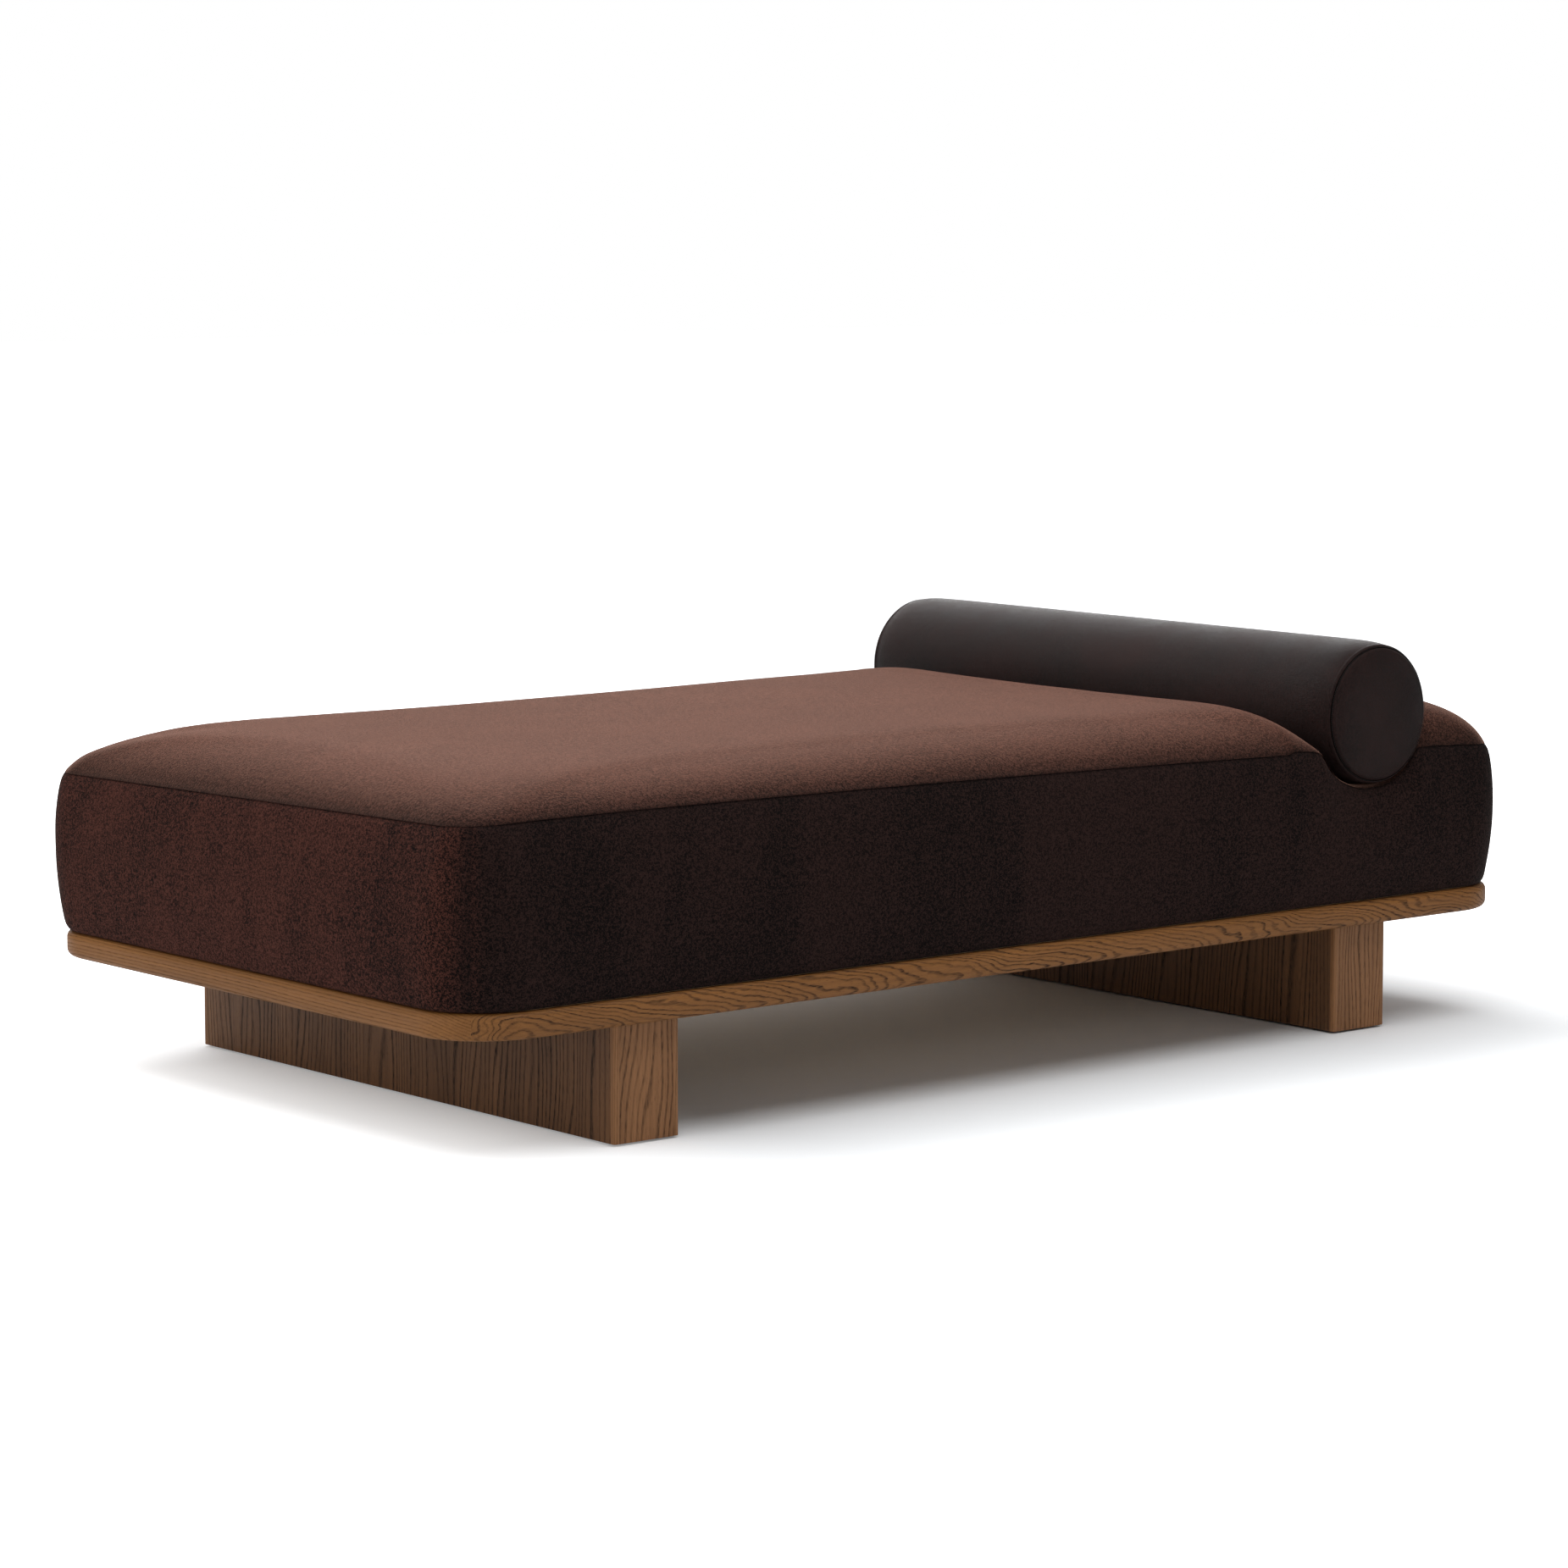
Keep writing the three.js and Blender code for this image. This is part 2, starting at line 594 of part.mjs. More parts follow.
function buildBolster(parent) {
  const bolster = new THREE.Group();
  bolster.name = "bolster";
  bolster.position.set(BOLSTER_X, 0, BOLSTER_Z);
  parent.add(bolster);
  const outside = barrelLine(0);
  const inside = barrelLine(COVER_THICK).reverse();
  const tube = [...outside, ...inside, outside[0]].reverse();
  add(bolster, "bolster_barrel", lieAcross(turned(tube, BOLSTER_FACETS)), LEATHER);
  const capRadius = BOLSTER_SEAM_RADIUS - COVER_THICK - GAP;
  const capOut = domeLine(BOLSTER_SEAM_RADIUS, BOLSTER_HALF + GAP, BOLSTER_DOME);
  const capIn = domeLine(capRadius, BOLSTER_HALF + GAP, BOLSTER_DOME - COVER_THICK).reverse();
  const cap = [...capIn, ...capOut];
  for (const [turn, name] of [[0, "far"], [Math.PI, "near"]]) {
    const geometry = lieAcross(turned(cap, BOLSTER_FACETS));
    geometry.rotateX(turn);
    add(bolster, `bolster_${name}_end`, geometry, LEATHER);
  }
  const body = barrelLine(FOAM_OFFSET);
  const end = domeLine(BOLSTER_SEAM_RADIUS - FOAM_OFFSET, BOLSTER_HALF, BOLSTER_DOME - FOAM_OFFSET - GAP);
  const top = [...end].reverse();
  const foot = end.map(([r, z]) => [r, -z]);
  const core = [...top, ...body.slice(1, -1), ...foot].reverse();
  add(bolster, "bolster_foam", lieAcross(turned(core, BOLSTER_FACETS)), FOAM);
}

buildPlatform(daybed);
buildLeg(daybed, "foot", -LEG_X);
buildLeg(daybed, "head", LEG_X);
buildSeatFrame(daybed);
buildUpholstery(daybed);
buildBolster(daybed);

export default daybed;
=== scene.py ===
import json
import math

import bpy
import numpy as np
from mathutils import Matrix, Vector


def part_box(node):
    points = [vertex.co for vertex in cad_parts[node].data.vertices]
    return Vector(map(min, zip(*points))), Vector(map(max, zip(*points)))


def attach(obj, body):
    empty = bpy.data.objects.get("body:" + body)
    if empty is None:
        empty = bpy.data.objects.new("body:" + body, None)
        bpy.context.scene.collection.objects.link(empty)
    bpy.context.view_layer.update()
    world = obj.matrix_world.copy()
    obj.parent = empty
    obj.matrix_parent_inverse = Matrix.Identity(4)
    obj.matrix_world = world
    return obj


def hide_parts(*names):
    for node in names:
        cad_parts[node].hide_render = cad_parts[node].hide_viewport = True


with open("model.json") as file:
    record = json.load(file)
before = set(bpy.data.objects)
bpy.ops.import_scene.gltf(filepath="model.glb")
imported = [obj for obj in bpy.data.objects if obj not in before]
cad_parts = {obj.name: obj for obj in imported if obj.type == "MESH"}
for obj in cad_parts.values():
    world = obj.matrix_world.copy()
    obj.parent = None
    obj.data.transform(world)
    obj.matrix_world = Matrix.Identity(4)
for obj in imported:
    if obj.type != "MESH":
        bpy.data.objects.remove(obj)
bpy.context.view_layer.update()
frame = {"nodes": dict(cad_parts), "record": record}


# ---------------------------------------------------------------------------------------------
# Platform rails. Four oak rails, mitred at rounded corners, frame the platform just proud of the
# seat's hem. Their upper and lower edges are rounded over by hand, and each rail is a board of its
# own, so the figure breaks at the mitres: flat-sawn along the sides, straight across the ends.

def put(tree, kind, feeds=None, **settings):
    """Adds a node, sets its properties, and feeds its sockets from values or other nodes' sockets."""
    made = tree.nodes.new(kind)
    for key, value in settings.items():
        setattr(made, key, value)
    for key, value in (feeds or {}).items():
        socket = made.inputs[key]
        if isinstance(value, bpy.types.NodeSocket):
            tree.links.new(value, socket)
        else:
            socket.default_value = value
    return made


def shader_group(name, inputs, outputs):
    """An empty shader group with its named sockets, and its inner ends."""
    tree = bpy.data.node_groups.new(name, "ShaderNodeTree")
    for label, kind, value in inputs:
        socket = tree.interface.new_socket(label, in_out="INPUT", socket_type=kind)
        socket.default_value = value
    for label, kind in outputs:
        tree.interface.new_socket(label, in_out="OUTPUT", socket_type=kind)
    return tree, tree.nodes.new("NodeGroupInput"), tree.nodes.new("NodeGroupOutput")


def math_node(tree, operation, *values, clamp=False):
    made = put(tree, "ShaderNodeMath", dict(enumerate(values)), operation=operation, use_clamp=clamp)
    return made.outputs[0]


def span(tree, value, low, high, to_low=0.0, to_high=1.0):
    """Eases a value from one range into another."""
    feeds = {0: value, 1: low, 2: high, 3: to_low, 4: to_high}
    return put(tree, "ShaderNodeMapRange", feeds, interpolation_type="SMOOTHSTEP").outputs[0]


def noise(tree, vector, scale, detail, roughness, bent=0.0):
    feeds = {"Vector": vector, "Scale": scale, "Detail": detail, "Roughness": roughness, "Distortion": bent}
    return put(tree, "ShaderNodeTexNoise", feeds).outputs["Fac"]


def vector_node(tree, operation, *vectors):
    return put(tree, "ShaderNodeVectorMath", dict(enumerate(vectors)), operation=operation).outputs[0]


def stretched_noise(tree, vector, scale, detail, roughness, bent=0.0):
    """Noise with its own scale along each axis."""
    return noise(tree, vector_node(tree, "MULTIPLY", vector, scale), 1.0, detail, roughness, bent)


def mix(tree, share, low, high):
    """Mixes two colours, each a plain (r, g, b) or another node's socket."""
    feeds = {0: share}
    for key, value in ((6, low), (7, high)):
        feeds[key] = value if isinstance(value, bpy.types.NodeSocket) else (*value, 1)
    return put(tree, "ShaderNodeMix", feeds, data_type="RGBA").outputs[2]


def grouped(tree, group, feeds):
    """Places a shader group and feeds its named inputs."""
    return put(tree, "ShaderNodeGroup", feeds, node_tree=group)


def new_material(name):
    """A material with its node tree, its shader, and the place on the object in metres."""
    material = bpy.data.materials.new(name)
    material.use_nodes = True
    tree = material.node_tree
    where = put(tree, "ShaderNodeTexCoord").outputs["Object"]
    return material, tree, tree.nodes["Principled BSDF"], where


def feed(tree, shader, **sockets):
    """Feeds the shader's sockets, named with _ for a space, from values or nodes."""
    for key, value in sockets.items():
        socket = shader.inputs[key.replace("_", " ")]
        if isinstance(value, bpy.types.NodeSocket):
            tree.links.new(value, socket)
        else:
            socket.default_value = value


def bumped(tree, height, strength, depth):
    """A normal pressed in by a height, to a depth in metres."""
    return put(tree, "ShaderNodeBump", {"Height": height, "Strength": strength, "Distance": depth}).outputs[0]


def added(name, data):
    """A new object in the scene, at the origin."""
    piece = bpy.data.objects.new(name, data)
    bpy.context.scene.collection.objects.link(piece)
    return piece


def oak_figure():
    """Growth lines, pores and streaks of an oak board whose grain runs along X, in metres.

    Slope counts the growth lines met per metre along each axis, and Waves how far they wander.
    """
    tree, start, end = shader_group(
        "oak_figure",
        [
            ("Vector", "NodeSocketVector", (0, 0, 0)),
            ("Slope", "NodeSocketVector", (10, 150, 150)),
            ("Figure", "NodeSocketVector", (3, 20, 20)),
            ("Waves", "NodeSocketFloat", 9.0),
            ("Wander", "NodeSocketFloat", 0.4),
        ],
        [("Growth", "NodeSocketFloat"), ("Pores", "NodeSocketFloat"), ("Streaks", "NodeSocketFloat")],
    )
    board = start.outputs["Vector"]
    figure = stretched_noise(tree, board, start.outputs["Figure"], 1.0, 0.4)
    ripple = stretched_noise(tree, board, (38, 120, 120), 1.0, 0.5)
    run = put(tree, "ShaderNodeVectorMath", {0: board, 1: start.outputs["Slope"]}, operation="DOT_PRODUCT")
    field = math_node(tree, "MULTIPLY_ADD", figure, start.outputs["Waves"], run.outputs["Value"])
    field = math_node(tree, "MULTIPLY_ADD", ripple, start.outputs["Wander"], field)
    ring = math_node(tree, "FRACT", field)
    rise = span(tree, ring, 0.42, 0.70)
    fall = span(tree, ring, 0.80, 0.94, 1.0, 0.0)
    year = math_node(tree, "FLOOR", field)
    chance = put(tree, "ShaderNodeTexWhiteNoise", {"W": year}, noise_dimensions="1D").outputs["Value"]
    strong = math_node(tree, "MULTIPLY_ADD", chance, 0.6, 0.5)
    growth = math_node(tree, "MULTIPLY", math_node(tree, "MULTIPLY", rise, fall), strong)
    streaks = stretched_noise(tree, board, (5, 240, 240), 3.0, 0.6)
    dashes = stretched_noise(tree, board, (70, 1000, 1000), 1.5, 0.6)
    dashes = span(tree, dashes, 0.44, 0.60)
    specks = stretched_noise(tree, board, (90, 1500, 1500), 1.0, 0.5)
    specks = math_node(tree, "MULTIPLY", span(tree, specks, 0.60, 0.70), 0.45)
    banded = math_node(tree, "MULTIPLY", growth, math_node(tree, "MULTIPLY_ADD", dashes, 0.65, 0.35))
    pores = math_node(tree, "MAXIMUM", banded, specks)
    tree.links.new(growth, end.inputs["Growth"])
    tree.links.new(pores, end.inputs["Pores"])
    tree.links.new(streaks, end.inputs["Streaks"])
    return tree


OAK_FIGURE = oak_figure()
GRAIN_TURN = {"X": (0, 0, 0), "Y": (0, 0, math.pi / 2), "Z": (0, math.pi / 2, 0)}


def oak(name, grain, place, slope, figure, waves, pale, deep, lines, wander):
    """Brown-stained oak. Grain is the board's own axis, and place picks the part of the log it is from."""
    material, tree, shader, where = new_material(name)
    feeds = {"Vector": where, "Rotation": GRAIN_TURN[grain], "Location": place}
    turned = put(tree, "ShaderNodeMapping", feeds).outputs[0]
    feeds = {"Vector": turned, "Slope": slope, "Figure": figure, "Waves": waves, "Wander": wander}
    board = grouped(tree, OAK_FIGURE, feeds)
    growth, pores, streaks = board.outputs["Growth"], board.outputs["Pores"], board.outputs["Streaks"]
    cloudy = stretched_noise(tree, turned, (3.0, 14, 14), 2.0, 0.5)
    tone = math_node(tree, "MULTIPLY_ADD", streaks, 0.9, -0.25)
    tone = math_node(tree, "ADD", tone, math_node(tree, "MULTIPLY_ADD", cloudy, 0.9, -0.25), clamp=True)
    soot = tuple(0.12 * c for c in deep)
    wood = mix(tree, tone, deep, pale)
    wood = mix(tree, math_node(tree, "MULTIPLY", growth, 0.22 * lines), wood, soot)
    wood = mix(tree, math_node(tree, "MULTIPLY", pores, lines), wood, soot)
    gloss = math_node(tree, "MULTIPLY_ADD", pores, 0.3, 0.5)
    depth = math_node(tree, "MULTIPLY_ADD", pores, -1.0, 1.0)
    depth = math_node(tree, "ADD", depth, math_node(tree, "MULTIPLY", streaks, 0.25))
    feed(tree, shader, Base_Color=wood, Roughness=gloss, Normal=bumped(tree, depth, 0.4, 0.0006))
    feed(tree, shader, Specular_IOR_Level=0.22)
    return material


def finished(name, points, faces, *materials, panels=None, crease=35, marks=None):
    """A mesh object at the origin with its place in its points, shaded smooth up to a crease angle."""
    mesh = bpy.data.meshes.new(name)
    mesh.from_pydata([tuple(p) for p in points], [], faces)
    for material in materials:
        mesh.materials.append(material)
    if panels is not None:
        mesh.polygons.foreach_set("material_index", panels)
    for label, values in (marks or {}).items():
        mesh.attributes.new(label, "FLOAT", "POINT").data.foreach_set("value", values)
    mesh.shade_smooth()
    mesh.set_sharp_from_angle(angle=math.radians(crease))
    mesh.update()
    return added(name, mesh)


def lofted(loops):
    """Points and faces of a closed body through loops of equal count, from the lowest up."""
    count = len(loops[0])
    faces = []
    for k in range(len(loops) - 1):
        for i in range(count):
            a, b = k * count + i, k * count + (i + 1) % count
            faces.append((a, b, b + count, a + count))
    faces.append(tuple(reversed(range(count))))
    faces.append(tuple(range((len(loops) - 1) * count, len(loops) * count)))
    return [p for loop in loops for p in loop], faces


def rounded_edge(low, high, radius, steps=6):
    """(inset, height) pairs up an upright edge that is rounded over below and above."""
    turn = [math.pi / 2 * k / steps for k in range(steps + 1)]
    foot = [(radius * (1 - math.sin(a)), low + radius * (1 - math.cos(a))) for a in turn]
    head = [(radius * (1 - math.cos(a)), high - radius * (1 - math.sin(a))) for a in turn]
    return foot + head


def to_side(side, along, out):
    """Turns (along, outwards) of one of the four sides into X and Y."""
    return {"near": (along, -out), "head": (out, along), "far": (-along, out), "foot": (-out, -along)}[side]


MITRE_STEPS = 14


def mitred_rail(side, half_along, half_out, width, corner, low, high, edge):
    """Points and faces of a rail whose outer edge follows half of each rounded corner."""
    loops = []
    for inset, height in rounded_edge(low, high, edge):
        radius = corner - inset
        reach, out = half_along - corner, half_out - corner
        arc = [math.pi / 4 * k / MITRE_STEPS for k in range(MITRE_STEPS + 1)]
        right = [(reach + radius * math.sin(a), out + radius * math.cos(a)) for a in arc]
        left = [(-a, o) for a, o in reversed(right)]
        inner = [(half_along - width, half_out - width), (width - half_along, half_out - width)]
        loop = [to_side(side, a, o) for a, o in left + right + inner]
        loops.append([(x, y, height) for x, y in loop])
    return lofted(loops)


rail_low, rail_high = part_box("foot_rail")
half_length = -rail_low.x
half_width = -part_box("near_rail")[0].y
rail_width = rail_high.x - rail_low.x
platform_low, platform_top = rail_low.z, rail_high.z
PLATFORM_CORNER = 0.110
RAIL_EDGE = 0.010

RAIL_TONES = dict(pale=(0.284, 0.117, 0.029), deep=(0.134, 0.053, 0.012))
SIDE_OAK = dict(slope=(30, 150, 130), figure=(7, 26, 26), waves=7.0, lines=1.0, wander=0.9, **RAIL_TONES)
END_OAK = dict(slope=(3, 120, 240), figure=(1.5, 22, 22), waves=4.0, lines=0.5, wander=0.3, **RAIL_TONES)
rails = {
    "near": ("X", (0.31, 0.07, 0.02), SIDE_OAK),
    "far": ("X", (1.93, 0.41, 0.33), SIDE_OAK),
    "foot": ("Y", (0.72, 0.18, 0.05), END_OAK),
    "head": ("Y", (2.44, 0.63, 0.12), END_OAK),
}
for side, (grain, place, look) in rails.items():
    along, out = (half_length, half_width) if side in ("near", "far") else (half_width, half_length)
    shape = mitred_rail(side, along, out, rail_width, PLATFORM_CORNER, platform_low, platform_top, RAIL_EDGE)
    rail = finished(f"{side}_rail_oak", *shape, oak(f"oak_{side}_rail", grain, place, **look))
    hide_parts(f"{side}_rail")
    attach(rail, "base")


# ---------------------------------------------------------------------------------------------
# Slab legs. Each is a box of veneered boards with the grain upright, edged at its four upright
# corners by a solid oak lipping whose arris is eased. The lippings are a shade lighter.

LIPPING = 0.0085
LEG_EASE = 0.004
GLUE_LINE = 0.0001
BROKEN_EDGE = 0.0004
LIPPING_FOOT = 0.0006
LEG_OAK = dict(
    slope=(3, 90, 90),
    figure=(2.6, 13, 13),
    waves=9.0,
    wander=0.22,
    lines=1.0,
    pale=(0.236, 0.110, 0.045),
    deep=(0.082, 0.037, 0.016),
)
LEG_END_OAK = dict(
    slope=(4, 110, 110),
    figure=(4, 18, 18),
    waves=6.0,
    wander=0.25,
    lines=0.75,
    pale=(0.320, 0.148, 0.061),
    deep=(0.170, 0.076, 0.030),
)
LIP_OAK = dict(
    slope=(3, 200, 200),
    figure=(2, 30, 30),
    waves=2.0,
    wander=0.2,
    lines=0.4,
    pale=(0.330, 0.154, 0.064),
    deep=(0.190, 0.088, 0.036),
)


def slab(x0, x1, y0, y1, z0, z1):
    """A board with its edges just broken."""
    loops = []
    ease = BROKEN_EDGE
    for inset, height in ((ease, z0), (0, z0 + ease), (0, z1 - ease), (ease, z1)):
        a, b, c, d = x0 + inset, x1 - inset, y0 + inset, y1 - inset
        loops.append([(a, c, height), (b, c, height), (b, d, height), (a, d, height)])
    return lofted(loops)


def lipping(x, y, out_x, out_y, z0, z1):
    """An upright stick, flush with the boards, whose outer corner at (x, y) is rounded."""
    loops = []
    for inset, height in ((LIPPING_FOOT, z0), (0, z0 + LIPPING_FOOT), (0, z1)):
        cx, cy = x - out_x * LEG_EASE, y - out_y * LEG_EASE
        arc = [math.pi / 2 * k / 8 for k in range(9)]
        rim = LEG_EASE - inset
        points = [(cx + out_x * rim * math.cos(a), cy + out_y * rim * math.sin(a)) for a in arc]
        points += [(x - out_x * LIPPING, y - out_y * inset), (x - out_x * LIPPING, y - out_y * LIPPING)]
        points += [(x - out_x * inset, y - out_y * LIPPING)]
        if out_x * out_y < 0:
            points.reverse()
        loops.append([(px, py, height) for px, py in points])
    return lofted(loops)


for number, leg in enumerate(("foot", "head")):
    low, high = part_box(f"{leg}_leg_foot_board")
    near_low, near_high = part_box(f"{leg}_leg_near_board")
    far_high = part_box(f"{leg}_leg_far_board")[1]
    board = near_high.y - near_low.y
    x0, x1 = low.x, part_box(f"{leg}_leg_head_board")[1].x
    y0, y1, z0, z1 = near_low.y, far_high.y, low.z, high.z
    a, b = x0 + LIPPING + GLUE_LINE, x1 - LIPPING - GLUE_LINE
    c, d = y0 + LIPPING + GLUE_LINE, y1 - LIPPING - GLUE_LINE
    boards = {
        "foot": ((x0, x0 + board, c, d), LEG_OAK),
        "head": ((x1 - board, x1, c, d), LEG_OAK),
        "near": ((a, b, y0, c - 2 * GLUE_LINE), LEG_END_OAK),
        "far": ((a, b, d + 2 * GLUE_LINE, y1), LEG_END_OAK),
    }
    for index, (face, (place, look)) in enumerate(boards.items()):
        spot = (0.37 * index + 1.1 * number, 0.23 * index + 0.4, 0.6 * number + 0.15 * index)
        veneer = oak(f"oak_{leg}_leg_{face}", "Z", spot, **look)
        piece = finished(f"{leg}_leg_{face}_board_oak", *slab(*place, z0, z1), veneer)
        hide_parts(f"{leg}_leg_{face}_board")
        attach(piece, "base")
    lip_oak = oak(f"oak_{leg}_leg_lipping", "Z", (0.2 + number, 0.9, 0.3), **LIP_OAK)
    for x, out_x, end_name in ((x0, -1, "foot"), (x1, 1, "head")):
        for y, out_y, side_name in ((y0, -1, "near"), (y1, 1, "far")):
            shape = lipping(x, y, out_x, out_y, z0, z1)
            piece = finished(f"{leg}_leg_lipping_{side_name}_{end_name}", *shape, lip_oak)
            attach(piece, "base")


# ---------------------------------------------------------------------------------------------
# Carcass. Birch plywood, planed softwood, zinc-plated screws and felt glides carry the seat. They
# are plain workshop parts that only show from below, so they keep their frame shapes.

def sheet_stock(name, pale, deep, layers):
    """Plywood or softwood: a soft grain on the face and, for plywood, plies along its edges."""
    material, tree, shader, where = new_material(name)
    board = grouped(tree, OAK_FIGURE, {"Vector": where, "Slope": (2, 45, 45), "Figure": (1.2, 9, 9)})
    streaks = board.outputs["Streaks"]
    wood = mix(tree, math_node(tree, "MULTIPLY_ADD", streaks, 0.8, -0.1, clamp=True), deep, pale)
    wood = mix(tree, math_node(tree, "MULTIPLY", board.outputs["Growth"], 0.3), wood, deep)
    if layers:
        height = put(tree, "ShaderNodeSeparateXYZ", {0: where}).outputs["Z"]
        ply = math_node(tree, "PINGPONG", math_node(tree, "MULTIPLY", height, layers), 1.0)
        side = put(tree, "ShaderNodeNewGeometry").outputs["Normal"]
        flat = math_node(tree, "ABSOLUTE", put(tree, "ShaderNodeSeparateXYZ", {0: side}).outputs["Z"])
        upright = math_node(tree, "SUBTRACT", 1.0, flat)
        share = math_node(tree, "MULTIPLY", upright, span(tree, ply, 0.35, 0.65))
        wood = mix(tree, math_node(tree, "MULTIPLY", share, 0.6), wood, deep)
    gloss = span(tree, streaks, 0.2, 0.8, 0.62, 0.78)
    feed(tree, shader, Base_Color=wood, Roughness=gloss, Normal=bumped(tree, streaks, 0.2, 0.0005))
    return material


def zinc():
    material, tree, shader, where = new_material("zinc_plate")
    spangle = noise(tree, where, 420, 3.0, 0.6)
    plate = mix(tree, spangle, (0.42, 0.43, 0.44), (0.66, 0.67, 0.68))
    gloss = span(tree, spangle, 0.2, 0.8, 0.26, 0.42)
    feed(tree, shader, Base_Color=plate, Roughness=gloss, Metallic=1.0)
    return material


def felt():
    material, tree, shader, where = new_material("glide_felt")
    fibre = noise(tree, where, 1600, 4.0, 0.7)
    wool = mix(tree, fibre, (0.012, 0.011, 0.010), (0.05, 0.046, 0.042))
    feed(tree, shader, Base_Color=wool, Roughness=0.95, Normal=bumped(tree, fibre, 0.6, 0.0006))
    return material


STOCK = {
    "plywood": sheet_stock("plywood", (0.56, 0.40, 0.24), (0.40, 0.26, 0.14), 360),
    "softwood": sheet_stock("softwood", (0.66, 0.50, 0.30), (0.50, 0.34, 0.18), 0),
    "zinc_steel": zinc(),
    "glide_felt": felt(),
}
for part in frame["record"]["subparts"]:
    if part["material_slot"] in STOCK:
        for cad_slot in frame["nodes"][part["node"]].material_slots:
            cad_slot.material = STOCK[part["material_slot"]]


# ---------------------------------------------------------------------------------------------
# Seat. Deep foam in mohair velvet: one top panel that rolls down into a channel for the bolster,
# and four boxing panels that bulge a little over the platform. Panels are joined by plain seams
# that draw the cloth in, with one upright seam at each corner. The hem is tacked under the edge.

MM = 0.001
SEAM_INSET = 12.5 * MM
SEAM_CORNER = 62 * MM
SHOULDER = 4 * MM
BASE_INSET = 3.5 * MM
BASE_CORNER = 102 * MM
BULGE = 11.5 * MM
SEAM_HEIGHT = 448 * MM
SEAM_FALL_TO_HEAD = 28 * MM
SEAM_FALL_TO_FAR = 17 * MM
CROWN_FOOT = 486 * MM
CROWN_AT_CHANNEL = 491 * MM
CROWN_BEHIND = 486 * MM
CROWN_ROLL = 240 * MM
CROWN_ROLL_BEHIND = 150 * MM
FAR_LIFT = 6 * MM
SEAM_DRAW = 2.4 * MM
SEAT_LIP = 112 * MM
HEAD_LIP = 50 * MM
SEAM_CREASE = 3.5 * MM
SHOULDER_RISE = 0.18
SHOULDER_RUN = 11 * MM
CHANNEL_START = 235 * MM
CHANNEL_END = 168 * MM
CHANNEL_REACH = 140 * MM
TROUGH_GAP = 0.5 * MM
SEAT_LOW = platform_top + 1.5 * MM
BOXING_DROP = 235 * MM
BOXING_CREASE = 4 * MM
SHOULDER_FALL = 13 * MM
HEM_CURL = 5 * MM
CORNER_DIP = 1.8 * MM
CORNER_DIP_WIDTH = 5 * MM
STRAIGHT_HALF = 800 * MM
LEAN_START = 750 * MM
LEAN_RUN = 220 * MM
# Widths of the painted shade along the top seam, under it on the boxing, and at the upright seams.
SEAM_SHADE_ON_TOP = 2.0 * MM
SEAM_SHADE_BELOW = 2.2 * MM
SEAM_SHADE_AT_CORNERS = 2.4 * MM
# How far the painted shade on the top reaches in from its seam.
TOP_SEAM_SHADE_RUN = 45 * MM
SEAT_STEP = 9 * MM
TRIAL_STEP = 20 * MM

barrel_low, barrel_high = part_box("bolster_barrel")
bolster_x = (barrel_low.x + barrel_high.x) / 2
bolster_z = (barrel_low.z + barrel_high.z) / 2
bolster_radius = (barrel_high.z - barrel_low.z) / 2

# The channel's edge along a long side, as (across, height) from the bolster's axis in millimetres,
# and the places across it where its lips meet its bed.
CHANNEL_MOUTH = [
    (-170, -41.5), (-137, -44), (-121, -47), (-112, -52), (-100, -70), (-85, -86), (-72, -94),
    (-46, -104), (-26, -107), (0, -107.5), (28, -104), (53, -93), (73, -77), (84, -62),
    (93, -54), (108, -53.5), (135, -54),
]
CHANNEL_CUTS = (-110 * MM, 0.0, 90 * MM)

# How far each end is shifted towards the foot, as (height, shift) up the boxing in millimetres.
HEAD_LEAN = [(190, 2), (200, 2.75), (230, 5.75), (440, 11)]
FOOT_LEAN = [(200, 3), (320, 0), (360, 0), (440, -3)]


def seam_height(x):
    """Height of the top seam along the near side. It droops a little at each end."""
    toward_head = (x + half_length) / (2 * half_length)
    droop = 5 * MM * np.exp(-(half_length - np.abs(x)) / (90 * MM))
    return SEAM_HEIGHT - SEAM_FALL_TO_HEAD * toward_head**2 - droop


def crown_height(x):
    toward_head = np.clip((x + half_length) / (bolster_x + half_length), 0, 1)
    return CROWN_FOOT + (CROWN_AT_CHANNEL - CROWN_FOOT) * toward_head


def evenly(curve, count):
    """A polyline as count points an equal way apart, its ends included."""
    steps = np.concatenate([[0], np.cumsum(np.hypot(*np.diff(curve, axis=0).T))])
    at = np.linspace(0, steps[-1], count)
    return np.stack([np.interp(at, steps, curve[:, k]) for k in (0, 1)], 1)


def smooth_line(curve, rounds=3):
    """Cuts a polyline's corners until it flows."""
    for _ in range(rounds):
        cut = np.stack([curve[:-1] * 0.75 + curve[1:] * 0.25, curve[:-1] * 0.25 + curve[1:] * 0.75], 1)
        curve = np.concatenate([curve[:1], cut.reshape(-1, 2), curve[-1:]])
    return curve


